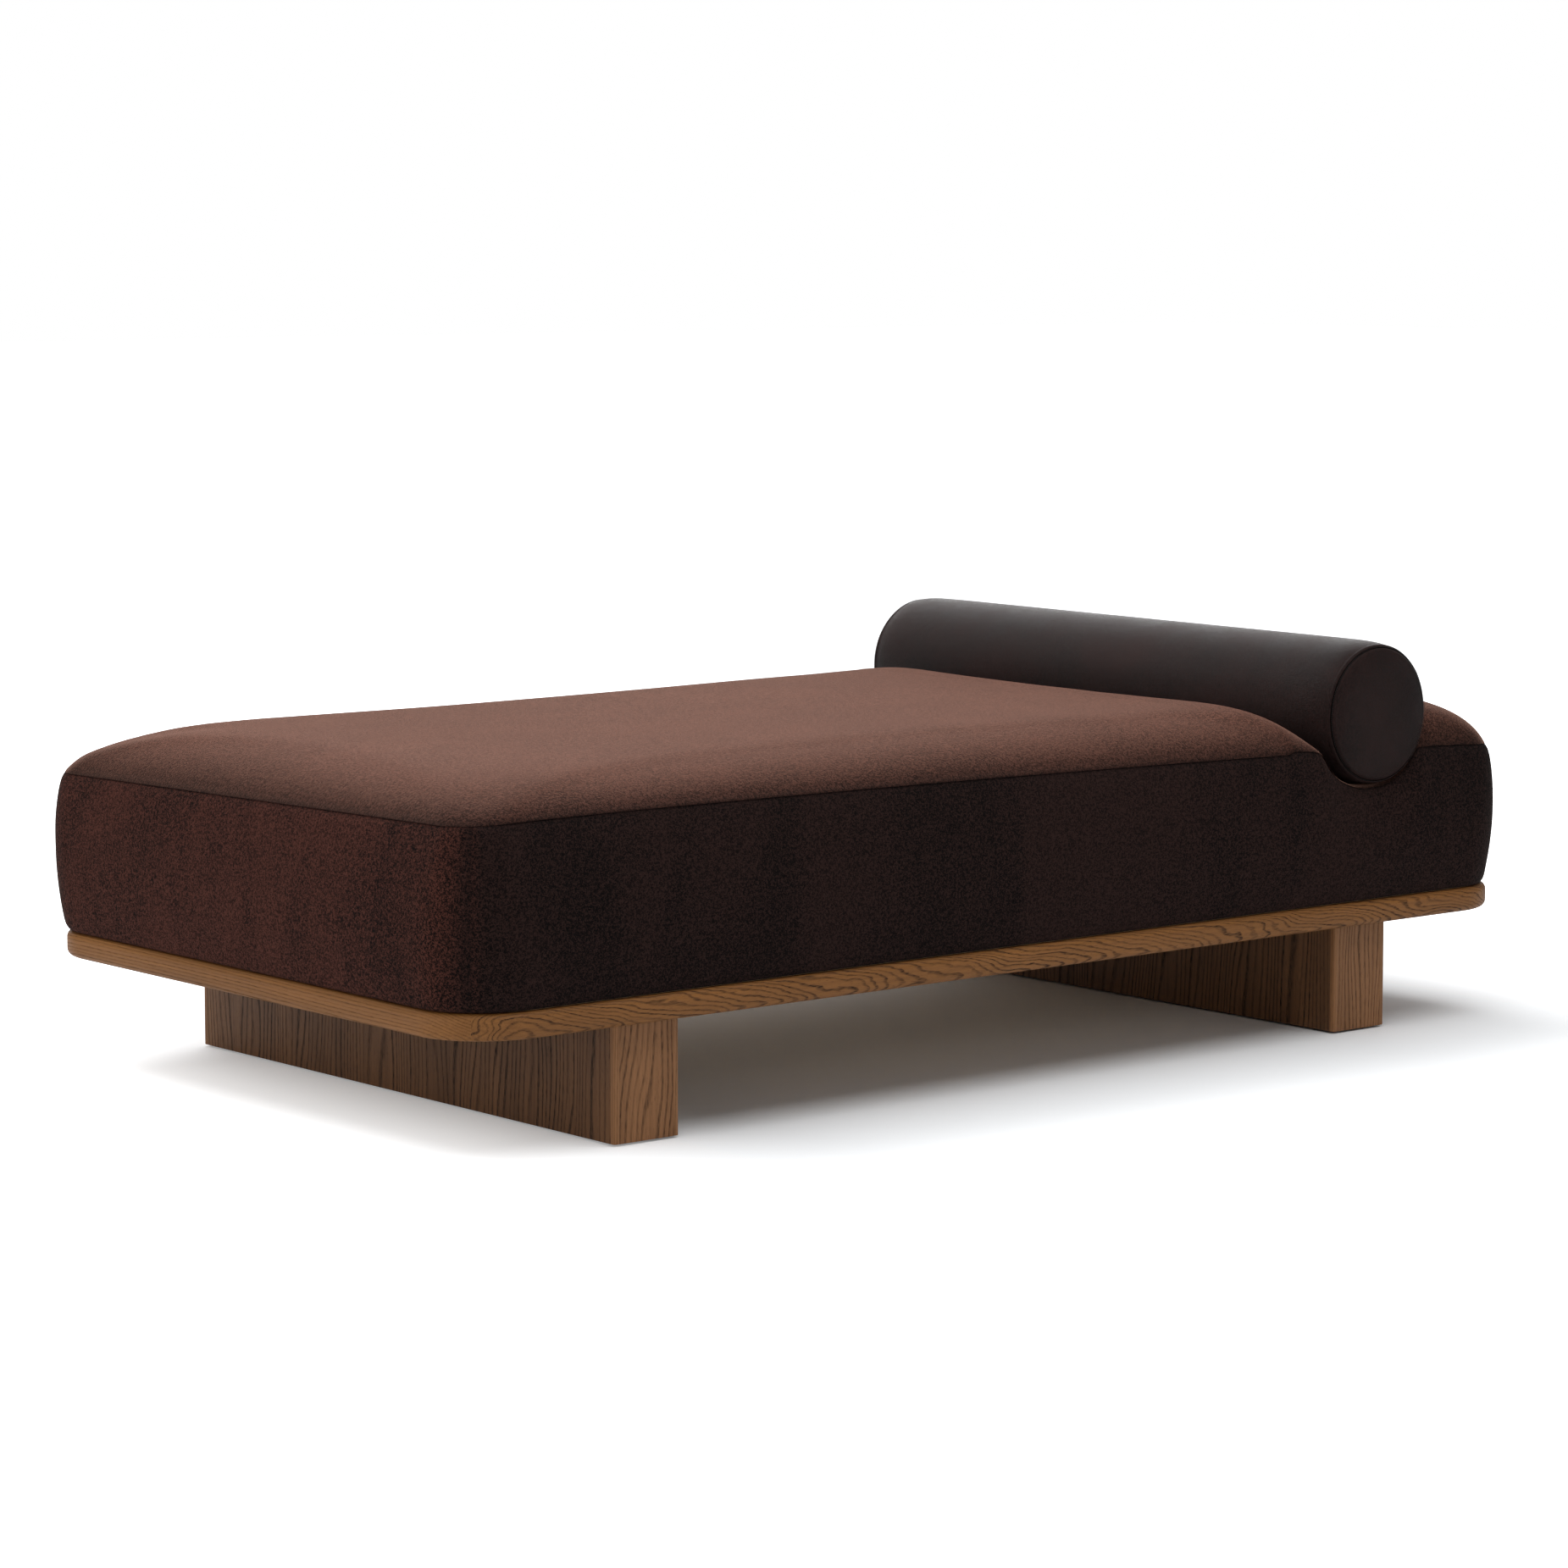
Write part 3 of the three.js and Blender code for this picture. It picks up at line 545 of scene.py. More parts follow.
def channel_section():
    """The channel's section in the middle of the seat, with the places where its parts meet."""
    trough = bolster_radius + TROUGH_GAP
    lips = []
    for sign, radius, crown in ((-1, SEAT_LIP, CROWN_AT_CHANNEL), (1, HEAD_LIP, CROWN_BEHIND)):
        z = crown - radius
        across = math.sqrt((trough + radius) ** 2 - (bolster_z - z) ** 2)
        lips.append((sign * across, z, radius, math.atan2(bolster_z - z, across)))
    (seat_x, seat_z, seat_r, seat_tilt), (head_x, head_z, head_r, head_tilt) = lips
    turn = np.linspace(math.pi / 2, seat_tilt, 24)
    first = np.stack([seat_x + seat_r * np.cos(turn), seat_z + seat_r * np.sin(turn)], 1)
    turn = np.linspace(math.pi + seat_tilt, 2 * math.pi - head_tilt, 60)
    bed = np.stack([trough * np.cos(turn), bolster_z + trough * np.sin(turn)], 1)
    turn = np.linspace(math.pi - head_tilt, math.pi / 2, 20)
    last = np.stack([head_x + head_r * np.cos(turn), head_z + head_r * np.sin(turn)], 1)
    start, finish = np.array([[-CHANNEL_START, CROWN_AT_CHANNEL]]), np.array([[CHANNEL_END, CROWN_BEHIND]])
    return [np.concatenate([start, first]), bed[:31], bed[30:], np.concatenate([last, finish])]


def channel_mouth():
    """The same line where the top panel meets the side boxing, cut at the matching places."""
    mouth = smooth_line(np.array(CHANNEL_MOUTH) * MM)
    mouth[:, 1] += bolster_z
    before = np.linspace(-CHANNEL_START, mouth[0, 0] - 15 * MM, 5)
    after = np.linspace(mouth[-1, 0] + 10 * MM, CHANNEL_END, 3)
    before, after = [np.stack([x, seam_height(bolster_x + x)], 1) for x in (before, after)]
    line = np.concatenate([before, mouth, after])
    cuts = [0] + [int(np.argmin(np.abs(line[:, 0] - x))) for x in CHANNEL_CUTS] + [len(line) - 1]
    return [line[a : b + 1] for a, b in zip(cuts, cuts[1:])]


def long_lines(step):
    """Edge line and middle line of the top panel, point for point, between the corner arcs."""
    reach = half_length - SEAM_INSET - SEAM_CORNER
    before, behind = bolster_x - CHANNEL_START, bolster_x + CHANNEL_END
    left = np.linspace(-reach, before, int((reach + before) / step))[:-1]
    right = np.linspace(behind, reach, max(3, int((reach - behind) / step)))[1:]
    edge = [np.stack([left, seam_height(left)], 1)]
    middle = [np.stack([left, crown_height(left)], 1)]
    for index, (mouth, section) in enumerate(zip(channel_mouth(), channel_section())):
        length = np.hypot(*np.diff(section, axis=0).T).sum()
        count = max(4, int(length / (0.7 * step)))
        skip = 0 if index == 0 else 1
        edge.append(evenly(mouth, count)[skip:] + (bolster_x, 0))
        middle.append(evenly(section, count)[skip:] + (bolster_x, 0))
    edge.append(np.stack([right, seam_height(right)], 1))
    middle.append(np.stack([right, np.full(len(right), CROWN_BEHIND)], 1))
    return np.concatenate(edge), np.concatenate(middle)


def graded(reach, step, first=0.0006, growth=1.5):
    """Distances from an edge, close together at first and then a step apart."""
    places = [0.0]
    gap = first
    while places[-1] + gap < reach:
        places.append(places[-1] + gap)
        gap = min(gap * growth, step)
    return np.array(places)


def eased(value):
    held = np.clip(value, 0, 1)
    return held * held * (3 - 2 * held)


def leaned(points):
    """Leans the head end in, and lets the foot end stand out at its hem and in at its shoulder."""
    x, z = points[..., 0], points[..., 2]
    moved = points.copy()
    for sign, profile in ((1, HEAD_LEAN), (-1, FOOT_LEAN)):
        heights, shifts = np.array(profile).T * MM
        moved[..., 0] -= eased((sign * x - LEAN_START) / LEAN_RUN) * np.interp(z, heights, shifts)
    return moved


class SeatGrid:
    """The seat as a grid: lines across it by lines along it, and a wall of rows below the edge."""

    def __init__(self, step):
        turns = max(6, int(SEAM_CORNER * math.pi / 2 / step) * 2 + 1)
        self.arc = np.radians(np.linspace(0, 90, turns))
        self.edge, self.middle = long_lines(step)
        inward = graded(half_width * 0.5, step) / half_width
        count = int(2 * (1 - inward[-1]) * half_width / step)
        fill = np.linspace(-1 + inward[-1], 1 - inward[-1], count)
        self.spread = np.concatenate([-1 + inward[:-1], fill, (1 - inward[:-1])[::-1]])
        upper, lower = graded(210 * MM, step), graded(20 * MM, step * 0.5)[::-1]
        self.fall = np.concatenate([upper / BOXING_DROP, 1 - lower / BOXING_DROP])
        self.across = len(self.edge) + 2 * len(self.arc) - 2
        self.along = len(self.spread)

    def side_line(self, inset, corner):
        """X and half-width of every line across the seat, for a plan drawn in by inset with that corner."""
        end, side = half_length - inset, half_width - inset
        arc_x = end - corner * (1 - np.cos(self.arc))
        arc_y = side - corner * (1 - np.sin(self.arc))
        top_end = half_length - SEAM_INSET - SEAM_CORNER
        x = self.edge[1:-1, 0]
        stretch = (end - corner - STRAIGHT_HALF) / (top_end - STRAIGHT_HALF)
        past = np.maximum(np.abs(x) - STRAIGHT_HALF, 0) * stretch
        middle = np.sign(x) * (np.minimum(np.abs(x), STRAIGHT_HALF) + past)
        xs = np.concatenate([-arc_x, middle, arc_x[::-1]])
        return xs, np.concatenate([arc_y, np.full(len(middle), side), arc_y[::-1]])

    def plan(self, xs, reach):
        """Every point of the grid in plan, from its lines' X and half-widths."""
        return np.stack([np.repeat(xs[:, None], self.along, 1), reach[:, None] * self.spread[None, :]], 2)

    def top(self):
        """Points of the top panel, which rolls up to its crown, and their distances from its seam."""
        edge_x, reach = self.side_line(SEAM_INSET, SEAM_CORNER)
        ends = len(self.arc)
        lip_z = seam_height(edge_x)
        lip_z[ends - 1 : -ends + 1] = self.edge[:, 1]
        inner_x = edge_x.copy()
        inner_x[ends - 1 : -ends + 1] = self.middle[:, 0]
        inner_z = np.where(edge_x < 0, crown_height(edge_x), CROWN_BEHIND)
        inner_z[ends - 1 : -ends + 1] = self.middle[:, 1]
        level_x, y = np.moveaxis(self.plan(edge_x, reach), 2, 0)
        away = self.away_from_edge(level_x, y)
        over_channel = (-200 * MM, 120 * MM)
        roll = np.interp(edge_x - bolster_x, over_channel, (CROWN_ROLL, CROWN_ROLL_BEHIND))[:, None]
        rise = 1 - (1 - np.clip(away / roll, 0, 1)) ** 4
        shoulder = SHOULDER_RISE * (1 - np.exp(-away / SHOULDER_RUN))
        rise = shoulder + (1 - shoulder) * rise
        share = 1 - (1 - np.clip(away / CHANNEL_REACH, 0, 1)) ** 3
        x = edge_x[:, None] + (inner_x - edge_x)[:, None] * share
        far = (y + half_width) / (2 * half_width)
        low = lip_z[:, None] - SEAM_FALL_TO_FAR * far
        z = low + (inner_z[:, None] - low + FAR_LIFT * far) * rise - SEAM_DRAW * np.exp(-away / SEAM_CREASE)
        return leaned(np.stack([x, y, z], 2)), away

    @staticmethod
    def away_from_edge(x, y):
        """How far a plan point is from the seam, on level lines whose corners open out as they go in."""
        a = np.maximum(half_length - SEAM_INSET - np.abs(x), 0)
        b = np.maximum(half_width - SEAM_INSET - np.abs(y), 0)
        p, q = SEAM_CORNER - a, SEAM_CORNER - b
        half_b = 2 * (p + q) - SEAM_CORNER
        c = p**2 + q**2 - SEAM_CORNER**2
        root = (-half_b + np.sqrt(np.maximum(half_b**2 - 7 * c, 0))) / 7
        corner = (p + 2 * root > 0) & (q + 2 * root > 0)
        return np.maximum(np.where(corner, root, np.minimum(a, b)), 0)

    def rim(self, grid):
        """The edge of a grid in one turn: near side, head end, far side, foot end."""
        return np.concatenate([grid[:, 0], grid[-1, 1:], grid[-2::-1, -1], grid[0, -2:0:-1]])

    def wall(self, rim_z):
        """Rows of points from the seam down to the hem, bulging, and dipping at the upright seams."""
        rows = []
        corner_dip = CORNER_DIP * np.exp(-((self.corner_distance() / CORNER_DIP_WIDTH) ** 2))
        for t in self.fall[1:]:
            lean = SEAM_INSET - SHOULDER + (BASE_INSET + SHOULDER - SEAM_INSET) * t
            down, up = t * BOXING_DROP, (1 - t) * BOXING_DROP
            curl = HEM_CURL * np.exp(-up / HEM_CURL)
            drawn = SEAM_DRAW * np.exp(-down / BOXING_CREASE) + SHOULDER * np.exp(-down / SHOULDER_FALL)
            inset = lean - 4 * BULGE * t * (1 - t) + curl + drawn
            corner = SEAM_CORNER + (BASE_CORNER - SEAM_CORNER) * t - inset + lean
            xs, reach = self.side_line(inset, corner)
            ring = self.rim(self.plan(xs, reach))
            inwards = ring / np.linalg.norm(ring, axis=1)[:, None]
            ring = ring - inwards * corner_dip[:, None]
            z = rim_z + (SEAT_LOW - rim_z) * t
            rows.append(np.concatenate([ring, z[:, None]], 1))
        return leaned(np.array(rows))

    def corner_distance(self):
        """How far each place round the wall is from the nearest of the four upright seams."""
        xs, reach = self.side_line(SEAM_INSET, SEAM_CORNER)
        ring = np.abs(self.rim(self.plan(xs, reach)))
        inset = SEAM_INSET + SEAM_CORNER * (1 - math.sqrt(0.5))
        return np.hypot(ring[:, 0] - (half_length - inset), ring[:, 1] - (half_width - inset))

    def closed(self, top, wall):
        """Points, faces and panel numbers (0 top, 1 boxing) of the whole closed seat."""
        index = np.arange(self.across * self.along).reshape(self.across, self.along)
        points = [top.reshape(-1, 3), wall.reshape(-1, 3)]
        quads = np.stack([index[:-1, :-1], index[1:, :-1], index[1:, 1:], index[:-1, 1:]], 2).reshape(-1, 4)
        rings = [self.rim(index)]
        around = len(rings[0])
        for row in range(len(wall)):
            rings.append(self.across * self.along + row * around + np.arange(around))
        sides = []
        for upper, lower in zip(rings, rings[1:]):
            sides.append(np.stack([lower, np.roll(lower, -1), np.roll(upper, -1), upper], 1))
        quads = np.concatenate([quads, *sides])
        middle = len(points[0]) + len(points[1])
        points.append(np.array([[0, 0, SEAT_LOW]]))
        last = rings[-1]
        fan = [(int(b), int(a), middle) for a, b in zip(last, np.roll(last, -1))]
        panels = [0] * ((self.across - 1) * (self.along - 1)) + [1] * (around * (len(wall) + 1))
        return np.concatenate(points), [tuple(q) for q in quads.tolist()] + fan, panels

    def shading(self, away, wall):
        """Painted light and shade for each point: lighter on the boxing towards the ends, darker on the top
        near its seam, and darker deep in a seam.
        """
        # Painted shade along the seams: on the top by its seam, on the boxing under it and at the upright
        # seams.
        on_top = np.exp(-away / SEAM_SHADE_ON_TOP).ravel()
        # Painted shade: the top darkens towards its seam, where the cloth turns from the light and loses its
        # sheen.
        near_seam = np.exp(-away / TOP_SEAM_SHADE_RUN).ravel()
        ring = wall[len(wall) // 2][:, :2]
        # Painted light: the boxing facing the foot and head ends is painted lighter, for the light and sheen
        # that fall on its nap there.
        run = np.roll(ring, -1, 0) - np.roll(ring, 1, 0)
        facing = np.abs(run[:, 1]) / np.maximum(np.linalg.norm(run, axis=1), 1e-9)
        facing = np.clip((facing - 0.45) / 0.5, 0, 1) ** 2
        drop = self.fall[1:, None] * BOXING_DROP
        upright = np.exp(-((self.corner_distance() / SEAM_SHADE_AT_CORNERS) ** 2))[None, :]
        in_seam = np.maximum(np.exp(-drop / SEAM_SHADE_BELOW), 0.8 * upright)
        turned = np.concatenate([near_seam, np.tile(facing, len(wall)), [0]])
        return turned, np.concatenate([0.6 * on_top, 0.6 * in_seam.ravel(), [0]])


def velvet_nap():
    """Short pile: a speckle of lit and shaded tufts, with soft patches where a hand has brushed it."""
    tree, start, end = shader_group(
        "velvet_nap",
        [
            ("Vector", "NodeSocketVector", (0, 0, 0)),
            ("Deep", "NodeSocketColor", (0.02, 0.01, 0.008, 1)),
            ("Lit", "NodeSocketColor", (0.09, 0.05, 0.04, 1)),
            ("Brushed", "NodeSocketFloat", 0.5),
            ("Tuft Scale", "NodeSocketFloat", 600.0),
        ],
        [("Color", "NodeSocketColor"), ("Height", "NodeSocketFloat")],
    )
    where = start.outputs["Vector"]
    tufts = noise(tree, where, start.outputs["Tuft Scale"], 2.0, 0.7)
    clump_scale = math_node(tree, "MULTIPLY", start.outputs["Tuft Scale"], 0.42)
    clumps = noise(tree, where, clump_scale, 2.0, 0.6)
    strokes = stretched_noise(tree, where, (7.0, 7.0, 2.5), 3.0, 0.55, 0.6)
    broad = noise(tree, where, 2.3, 2.0, 0.5)
    speckle = math_node(tree, "MULTIPLY_ADD", tufts, 0.6, math_node(tree, "MULTIPLY", clumps, 0.4))
    lit = span(tree, speckle, 0.42, 0.59)
    brushed = math_node(tree, "MULTIPLY_ADD", strokes, 0.6, math_node(tree, "MULTIPLY", broad, 0.4))
    brushed = span(tree, brushed, 0.36, 0.64)
    share = math_node(tree, "MULTIPLY", math_node(tree, "SUBTRACT", brushed, 0.5), start.outputs["Brushed"])
    lit = math_node(tree, "ADD", lit, share, clamp=True)
    cloth = mix(tree, lit, start.outputs["Deep"], start.outputs["Lit"])
    tree.links.new(cloth, end.inputs["Color"])
    tree.links.new(speckle, end.inputs["Height"])
    return tree


VELVET_NAP = velvet_nap()


def velvet(name, tones, light_and_shade_tones, tufts, brushed, sheen, tint):
    """Mohair velvet. Its second tones are painted light and shade, lighter on the end boxing and darker near
    the top seam, and both take painted shade in the seams.
    """
    material, tree, shader, where = new_material(name)
    turned = put(tree, "ShaderNodeAttribute", attribute_name="nap_light_and_shade").outputs["Fac"]
    seam = put(tree, "ShaderNodeAttribute", attribute_name="seam_shade").outputs["Fac"]
    # Mixes in the painted light and shade tones where the per-point mark asks for them.
    deep, lit = [mix(tree, turned, *pair) for pair in zip(tones, light_and_shade_tones)]
    feeds = {"Vector": where, "Deep": deep, "Lit": lit, "Brushed": brushed, "Tuft Scale": tufts}
    nap = grouped(tree, VELVET_NAP, feeds)
    height = nap.outputs["Height"]
    # Painted shade: the cloth is mixed towards near black along its seams.
    seam_shade_share = math_node(tree, "MULTIPLY", seam, 0.7)
    cloth = mix(tree, seam_shade_share, nap.outputs["Color"], (0.0015, 0.001, 0.001))
    matt = span(tree, height, 0.3, 0.7, 1.0, 0.8)
    feed(tree, shader, Base_Color=cloth, Roughness=matt, Normal=bumped(tree, height, 0.8, 0.0016))
    feed(tree, shader, Specular_IOR_Level=0.1)
    feed(tree, shader, Sheen_Weight=sheen, Sheen_Roughness=0.30, Sheen_Tint=(*tint, 1))
    return material


FILL_FRAMES = 20


def settled(points, faces, held, cap, pressure):
    """Blows a closed cover up against its seams for a few frames, and returns how far each point moved."""
    mesh = bpy.data.meshes.new("cover_trial")
    mesh.from_pydata([tuple(p) for p in points], [], faces)
    trial = added("cover_trial", mesh)
    scene = bpy.context.scene
    sewn = trial.vertex_groups.new(name="sewn")
    sewn.add(np.nonzero(held)[0].tolist(), 1.0, "REPLACE")
    cloth = trial.modifiers.new("fill", "CLOTH").settings
    cloth.vertex_group_mass = "sewn"
    cloth.quality = 4
    cloth.tension_stiffness = 30
    cloth.compression_stiffness = 30
    cloth.bending_stiffness = 4
    cloth.use_pressure = True
    cloth.uniform_pressure_force = pressure
    cloth.effector_weights.gravity = 0
    for number in range(1, FILL_FRAMES + 1):
        scene.frame_set(number)
    shown = trial.evaluated_get(bpy.context.evaluated_depsgraph_get()).data
    moved = np.zeros(len(points) * 3)
    shown.vertices.foreach_get("co", moved)
    moved = moved.reshape(-1, 3) - points
    scene.frame_set(1)
    bpy.data.objects.remove(trial)
    length = np.linalg.norm(moved, axis=1)[:, None]
    return moved * cap / (cap + length)


def carried(field, rows, columns, new_rows, new_columns):
    """A field on one grid, read off on another that covers the same ground."""

    def read(lines, old, new):
        return np.stack([[np.interp(new, old, line[:, k]) for k in range(3)] for line in lines])

    half = np.moveaxis(read(field, columns, new_columns), 1, 2)
    full = read(np.moveaxis(half, 1, 0), rows, new_rows)
    return np.moveaxis(full, (0, 1, 2), (1, 2, 0))


def run_of(line):
    """Share of the way along a line of points at each of them."""
    steps = np.concatenate([[0], np.cumsum(np.linalg.norm(np.diff(line, axis=0), axis=1))])
    return steps / steps[-1]


def seat_settling(fine_top, fine_rim, fine):
    """Simulates a coarser seat and carries its movement to the fine one."""
    rough = SeatGrid(TRIAL_STEP)
    top, away = rough.top()
    wall = rough.wall(rough.rim(top)[:, 2])
    points, faces, _ = rough.closed(top, wall)
    held = np.zeros(len(points), bool)
    held[: away.size] = away.ravel() < 1 * MM
    held[away.size : -1].reshape(len(wall), -1)[-3:] = True
    held[-1] = True
    moved = settled(points, faces, held, cap=3 * MM, pressure=0.35)
    top_moved = moved[: away.size].reshape(top.shape)
    wall_moved = moved[away.size : -1].reshape(wall.shape)
    rough_run, fine_run = run_of(top[:, rough.along // 2]), run_of(fine_top[:, fine.along // 2])
    on_top = carried(top_moved, rough_run, rough.spread, fine_run, fine.spread)
    rim = rough.rim(top)
    ring_moved = np.concatenate([rough.rim(top_moved)[None], wall_moved])
    on_wall = carried(ring_moved, rough.fall, run_of(rim), fine.fall, run_of(fine_rim))
    return on_top, on_wall[1:]


seat_grid = SeatGrid(SEAT_STEP)
seat_top, seat_away = seat_grid.top()
seat_wall = seat_grid.wall(seat_grid.rim(seat_top)[:, 2])
top_shift, wall_shift = seat_settling(seat_top, seat_grid.rim(seat_top), seat_grid)
seat_top = seat_top + top_shift * np.clip(seat_away / (4 * MM), 0, 1)[:, :, None]
seat_wall = seat_wall + wall_shift
seat_points, seat_faces, seat_panels = seat_grid.closed(seat_top, seat_wall)
nap_light_and_shade, seam_shade = seat_grid.shading(seat_away, seat_wall)

# Painted light: the top panel and the boxing are one velvet, but the top is given tones several times
# lighter, for the light from above and its sheen.
TOP_VELVET = velvet(
    "velvet_top",
    tones=((0.022, 0.0084, 0.0054), (0.130, 0.0510, 0.0332)),
    # Painted shade near the top seam.
    light_and_shade_tones=((0.006, 0.0022, 0.0014), (0.046, 0.0172, 0.0112)),
    tufts=560.0,
    brushed=0.15,
    sheen=0.42,
    tint=(1.0, 0.55, 0.41),
)
BOX_VELVET = velvet(
    "velvet_boxing",
    tones=((0.0016, 0.0007, 0.0006), (0.0210, 0.0092, 0.0073)),
    # Painted light on the end boxing.
    light_and_shade_tones=((0.0026, 0.0008, 0.0005), (0.068, 0.0212, 0.0140)),
    tufts=600.0,
    brushed=0.42,
    sheen=0.015,
    tint=(0.9, 0.55, 0.45),
)
seat = finished(
    "seat_cushion",
    seat_points,
    seat_faces,
    TOP_VELVET,
    BOX_VELVET,
    panels=seat_panels,
    crease=75,
    marks={"nap_light_and_shade": nap_light_and_shade, "seam_shade": seam_shade},
)
SEAT_NODES = ["cover_top_panel", "seat_foam", "channel_foam", "head_foam"]
SEAT_NODES += [f"cover_{side}_boxing" for side in ("near", "far", "foot", "head")]
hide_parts(*SEAT_NODES)
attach(seat, "base")


# ---------------------------------------------------------------------------------------------
# Bolster. A firm roll of foam in smooth brown leather, loose in its channel. The tube is drawn in
# at each end, where a disc is sewn on edge to edge, and the seam lies in a narrow groove whose shade is
# painted as a near-black strip.

BOLSTER_SEAM_RADIUS = 100.6 * MM
BOLSTER_SWELL = 17 * MM
# Rims and grooves are (height, run) from the seam, and beads (height, place, width).
DISC_RIM = (3.2 * MM, 1.9 * MM)
DISC_BEAD = (0.9 * MM, 5 * MM, 2.6 * MM)
DISC_DOME_RUN = 16 * MM
TUBE_GROOVE = (2.8 * MM, 1.7 * MM)
TUBE_BEAD = (1.5 * MM, 4.4 * MM, 2.0 * MM)
# How far from each end seam the painted groove shade reaches.
GROOVE_SHADE = 2.1 * MM
ROLL_STEP = 10 * MM
TURNS = 144
bolster_half = (barrel_high.y - barrel_low.y) / 2
bolster_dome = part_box("bolster_far_end")[1].y - bolster_half


def fading(away, height, run):
    """A height that dies away from a seam."""
    return height * np.exp(-away / run)


def swelling(away, height, place, width):
    """A low ridge beside a seam."""
    return height * np.exp(-(((away - place) / width) ** 2))


def bolster_section():
    """(along, radius) pairs from one disc's middle to the other's, and their distances from the seams."""
    out = graded(BOLSTER_SEAM_RADIUS, ROLL_STEP, 0.5 * MM, 1.25)[1:]
    rim = fading(out, *DISC_RIM) - swelling(out, *DISC_BEAD)
    dome = bolster_dome - fading(out, bolster_dome, DISC_DOME_RUN)
    face = np.stack([dome - rim, BOLSTER_SEAM_RADIUS - out], 1)
    run = graded(bolster_half, ROLL_STEP, 0.5 * MM, 1.25)
    drawn_in = fading(run, bolster_radius - BOLSTER_SEAM_RADIUS, BOLSTER_SWELL)
    bead = swelling(run, *TUBE_BEAD) - fading(run, *TUBE_GROOVE)
    tube = np.stack([-run, bolster_radius - drawn_in + bead], 1)
    half = np.concatenate([face[::-1], tube]) + (bolster_half, 0)
    away = np.concatenate([out[::-1], run])
    return np.concatenate([half, half[::-1] * (-1, 1)]), np.concatenate([away, away[::-1]])


def laid_in_channel(points):
    """Moves points from the bolster's own axis to where it lies, along the seat's rise to the far side."""
    placed = points + (bolster_x, 0, bolster_z)
    placed[:, 2] += FAR_LIFT * (0.5 + 0.5 * points[:, 1] / bolster_half)
    return placed


def hoop(along, radius, count):
    """Points round the bolster's own axis."""
    angle = np.linspace(0, 2 * math.pi, count, endpoint=False)
    return np.stack([radius * np.cos(angle), np.full(count, along), radius * np.sin(angle)], 1)


def bolster_skin(section):
    """Points and faces of the closed roll, its poles at the discs' middles."""
    rings = [hoop(along, radius, TURNS) for along, radius in section]
    poles = np.array([[0, section[0, 0], 0], [0, section[-1, 0], 0]])
    points = laid_in_channel(np.concatenate(rings + [poles]))
    faces = []
    for k in range(len(section) - 1):
        a = k * TURNS + np.arange(TURNS)
        b = k * TURNS + (np.arange(TURNS) + 1) % TURNS
        faces += [tuple(f) for f in np.stack([a, b, b + TURNS, a + TURNS], 1).tolist()]
    first, last = len(points) - 2, len(points) - 1
    base = (len(section) - 1) * TURNS
    for i in range(TURNS):
        j = (i + 1) % TURNS
        faces.append((first, j, i))
        faces.append((base + i, base + j, last))
    return points, faces


def leather_grain():
    """Smooth leather: fine pebbles, faint creases and a slow change of tone."""
    tree, start, end = shader_group(
        "leather_grain",
        [("Vector", "NodeSocketVector", (0, 0, 0))],
        [("Tone", "NodeSocketFloat"), ("Height", "NodeSocketFloat")],
    )
    where = start.outputs["Vector"]
    cells = put(tree, "ShaderNodeTexVoronoi", {"Vector": where, "Scale": 950.0}, feature="DISTANCE_TO_EDGE")
    pebble = span(tree, cells.outputs["Distance"], 0.0, 0.25)
    creases = noise(tree, where, 60, 4.0, 0.65, 0.8)
    fine = noise(tree, where, 330, 3.0, 0.7)
    cloudy = noise(tree, where, 9.0, 4.0, 0.6)
    height = math_node(tree, "MULTIPLY_ADD", pebble, 0.5, math_node(tree, "MULTIPLY", creases, 0.8))
    height = math_node(tree, "MULTIPLY_ADD", fine, 0.5, height)
    mottled = math_node(tree, "MULTIPLY_ADD", fine, 0.55, math_node(tree, "MULTIPLY", cloudy, 0.45))
    tree.links.new(span(tree, mottled, 0.36, 0.64), end.inputs["Tone"])
    tree.links.new(height, end.inputs["Height"])
    return tree


LEATHER_GRAIN = leather_grain()


def leather(name, deep, pale, least_gloss, most_gloss, mirror):
    material, tree, shader, where = new_material(name)
    hide = grouped(tree, LEATHER_GRAIN, {"Vector": where})
    tone = hide.outputs["Tone"]
    relief = bumped(tree, hide.outputs["Height"], 1.0, 0.0009)
    gloss = span(tree, tone, 0.0, 1.0, least_gloss, most_gloss)
    feed(tree, shader, Base_Color=mix(tree, tone, deep, pale), Roughness=gloss, Normal=relief)
    feed(tree, shader, Specular_IOR_Level=mirror)
    return material


section, from_seam = bolster_section()
roll_points, roll_faces = bolster_skin(section)
# Painted shade: faces in the seam groove take a near-black, unglossy leather.
in_groove = (np.maximum(from_seam[:-1], from_seam[1:]) < GROOVE_SHADE).astype(int)
roll_panels = np.repeat(in_groove, TURNS).tolist() + [0] * (2 * TURNS)
LEATHER = leather(
    "bolster_leather",
    deep=(0.0075, 0.0030, 0.0026),
    pale=(0.0245, 0.0104, 0.0090),
    least_gloss=0.30,
    most_gloss=0.40,
    mirror=0.09,
)
PAINTED_GROOVE_LEATHER = leather(
    "painted_groove_leather",
    deep=(0.0012, 0.0007, 0.0006),
    pale=(0.0030, 0.0018, 0.0016),
    least_gloss=0.8,
    most_gloss=0.9,
    mirror=0.0,
)
roll = finished("bolster_roll", roll_points, roll_faces, LEATHER, PAINTED_GROOVE_LEATHER, panels=roll_panels, crease=75)
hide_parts("bolster_barrel", "bolster_near_end", "bolster_far_end", "bolster_foam")
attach(roll, "bolster")


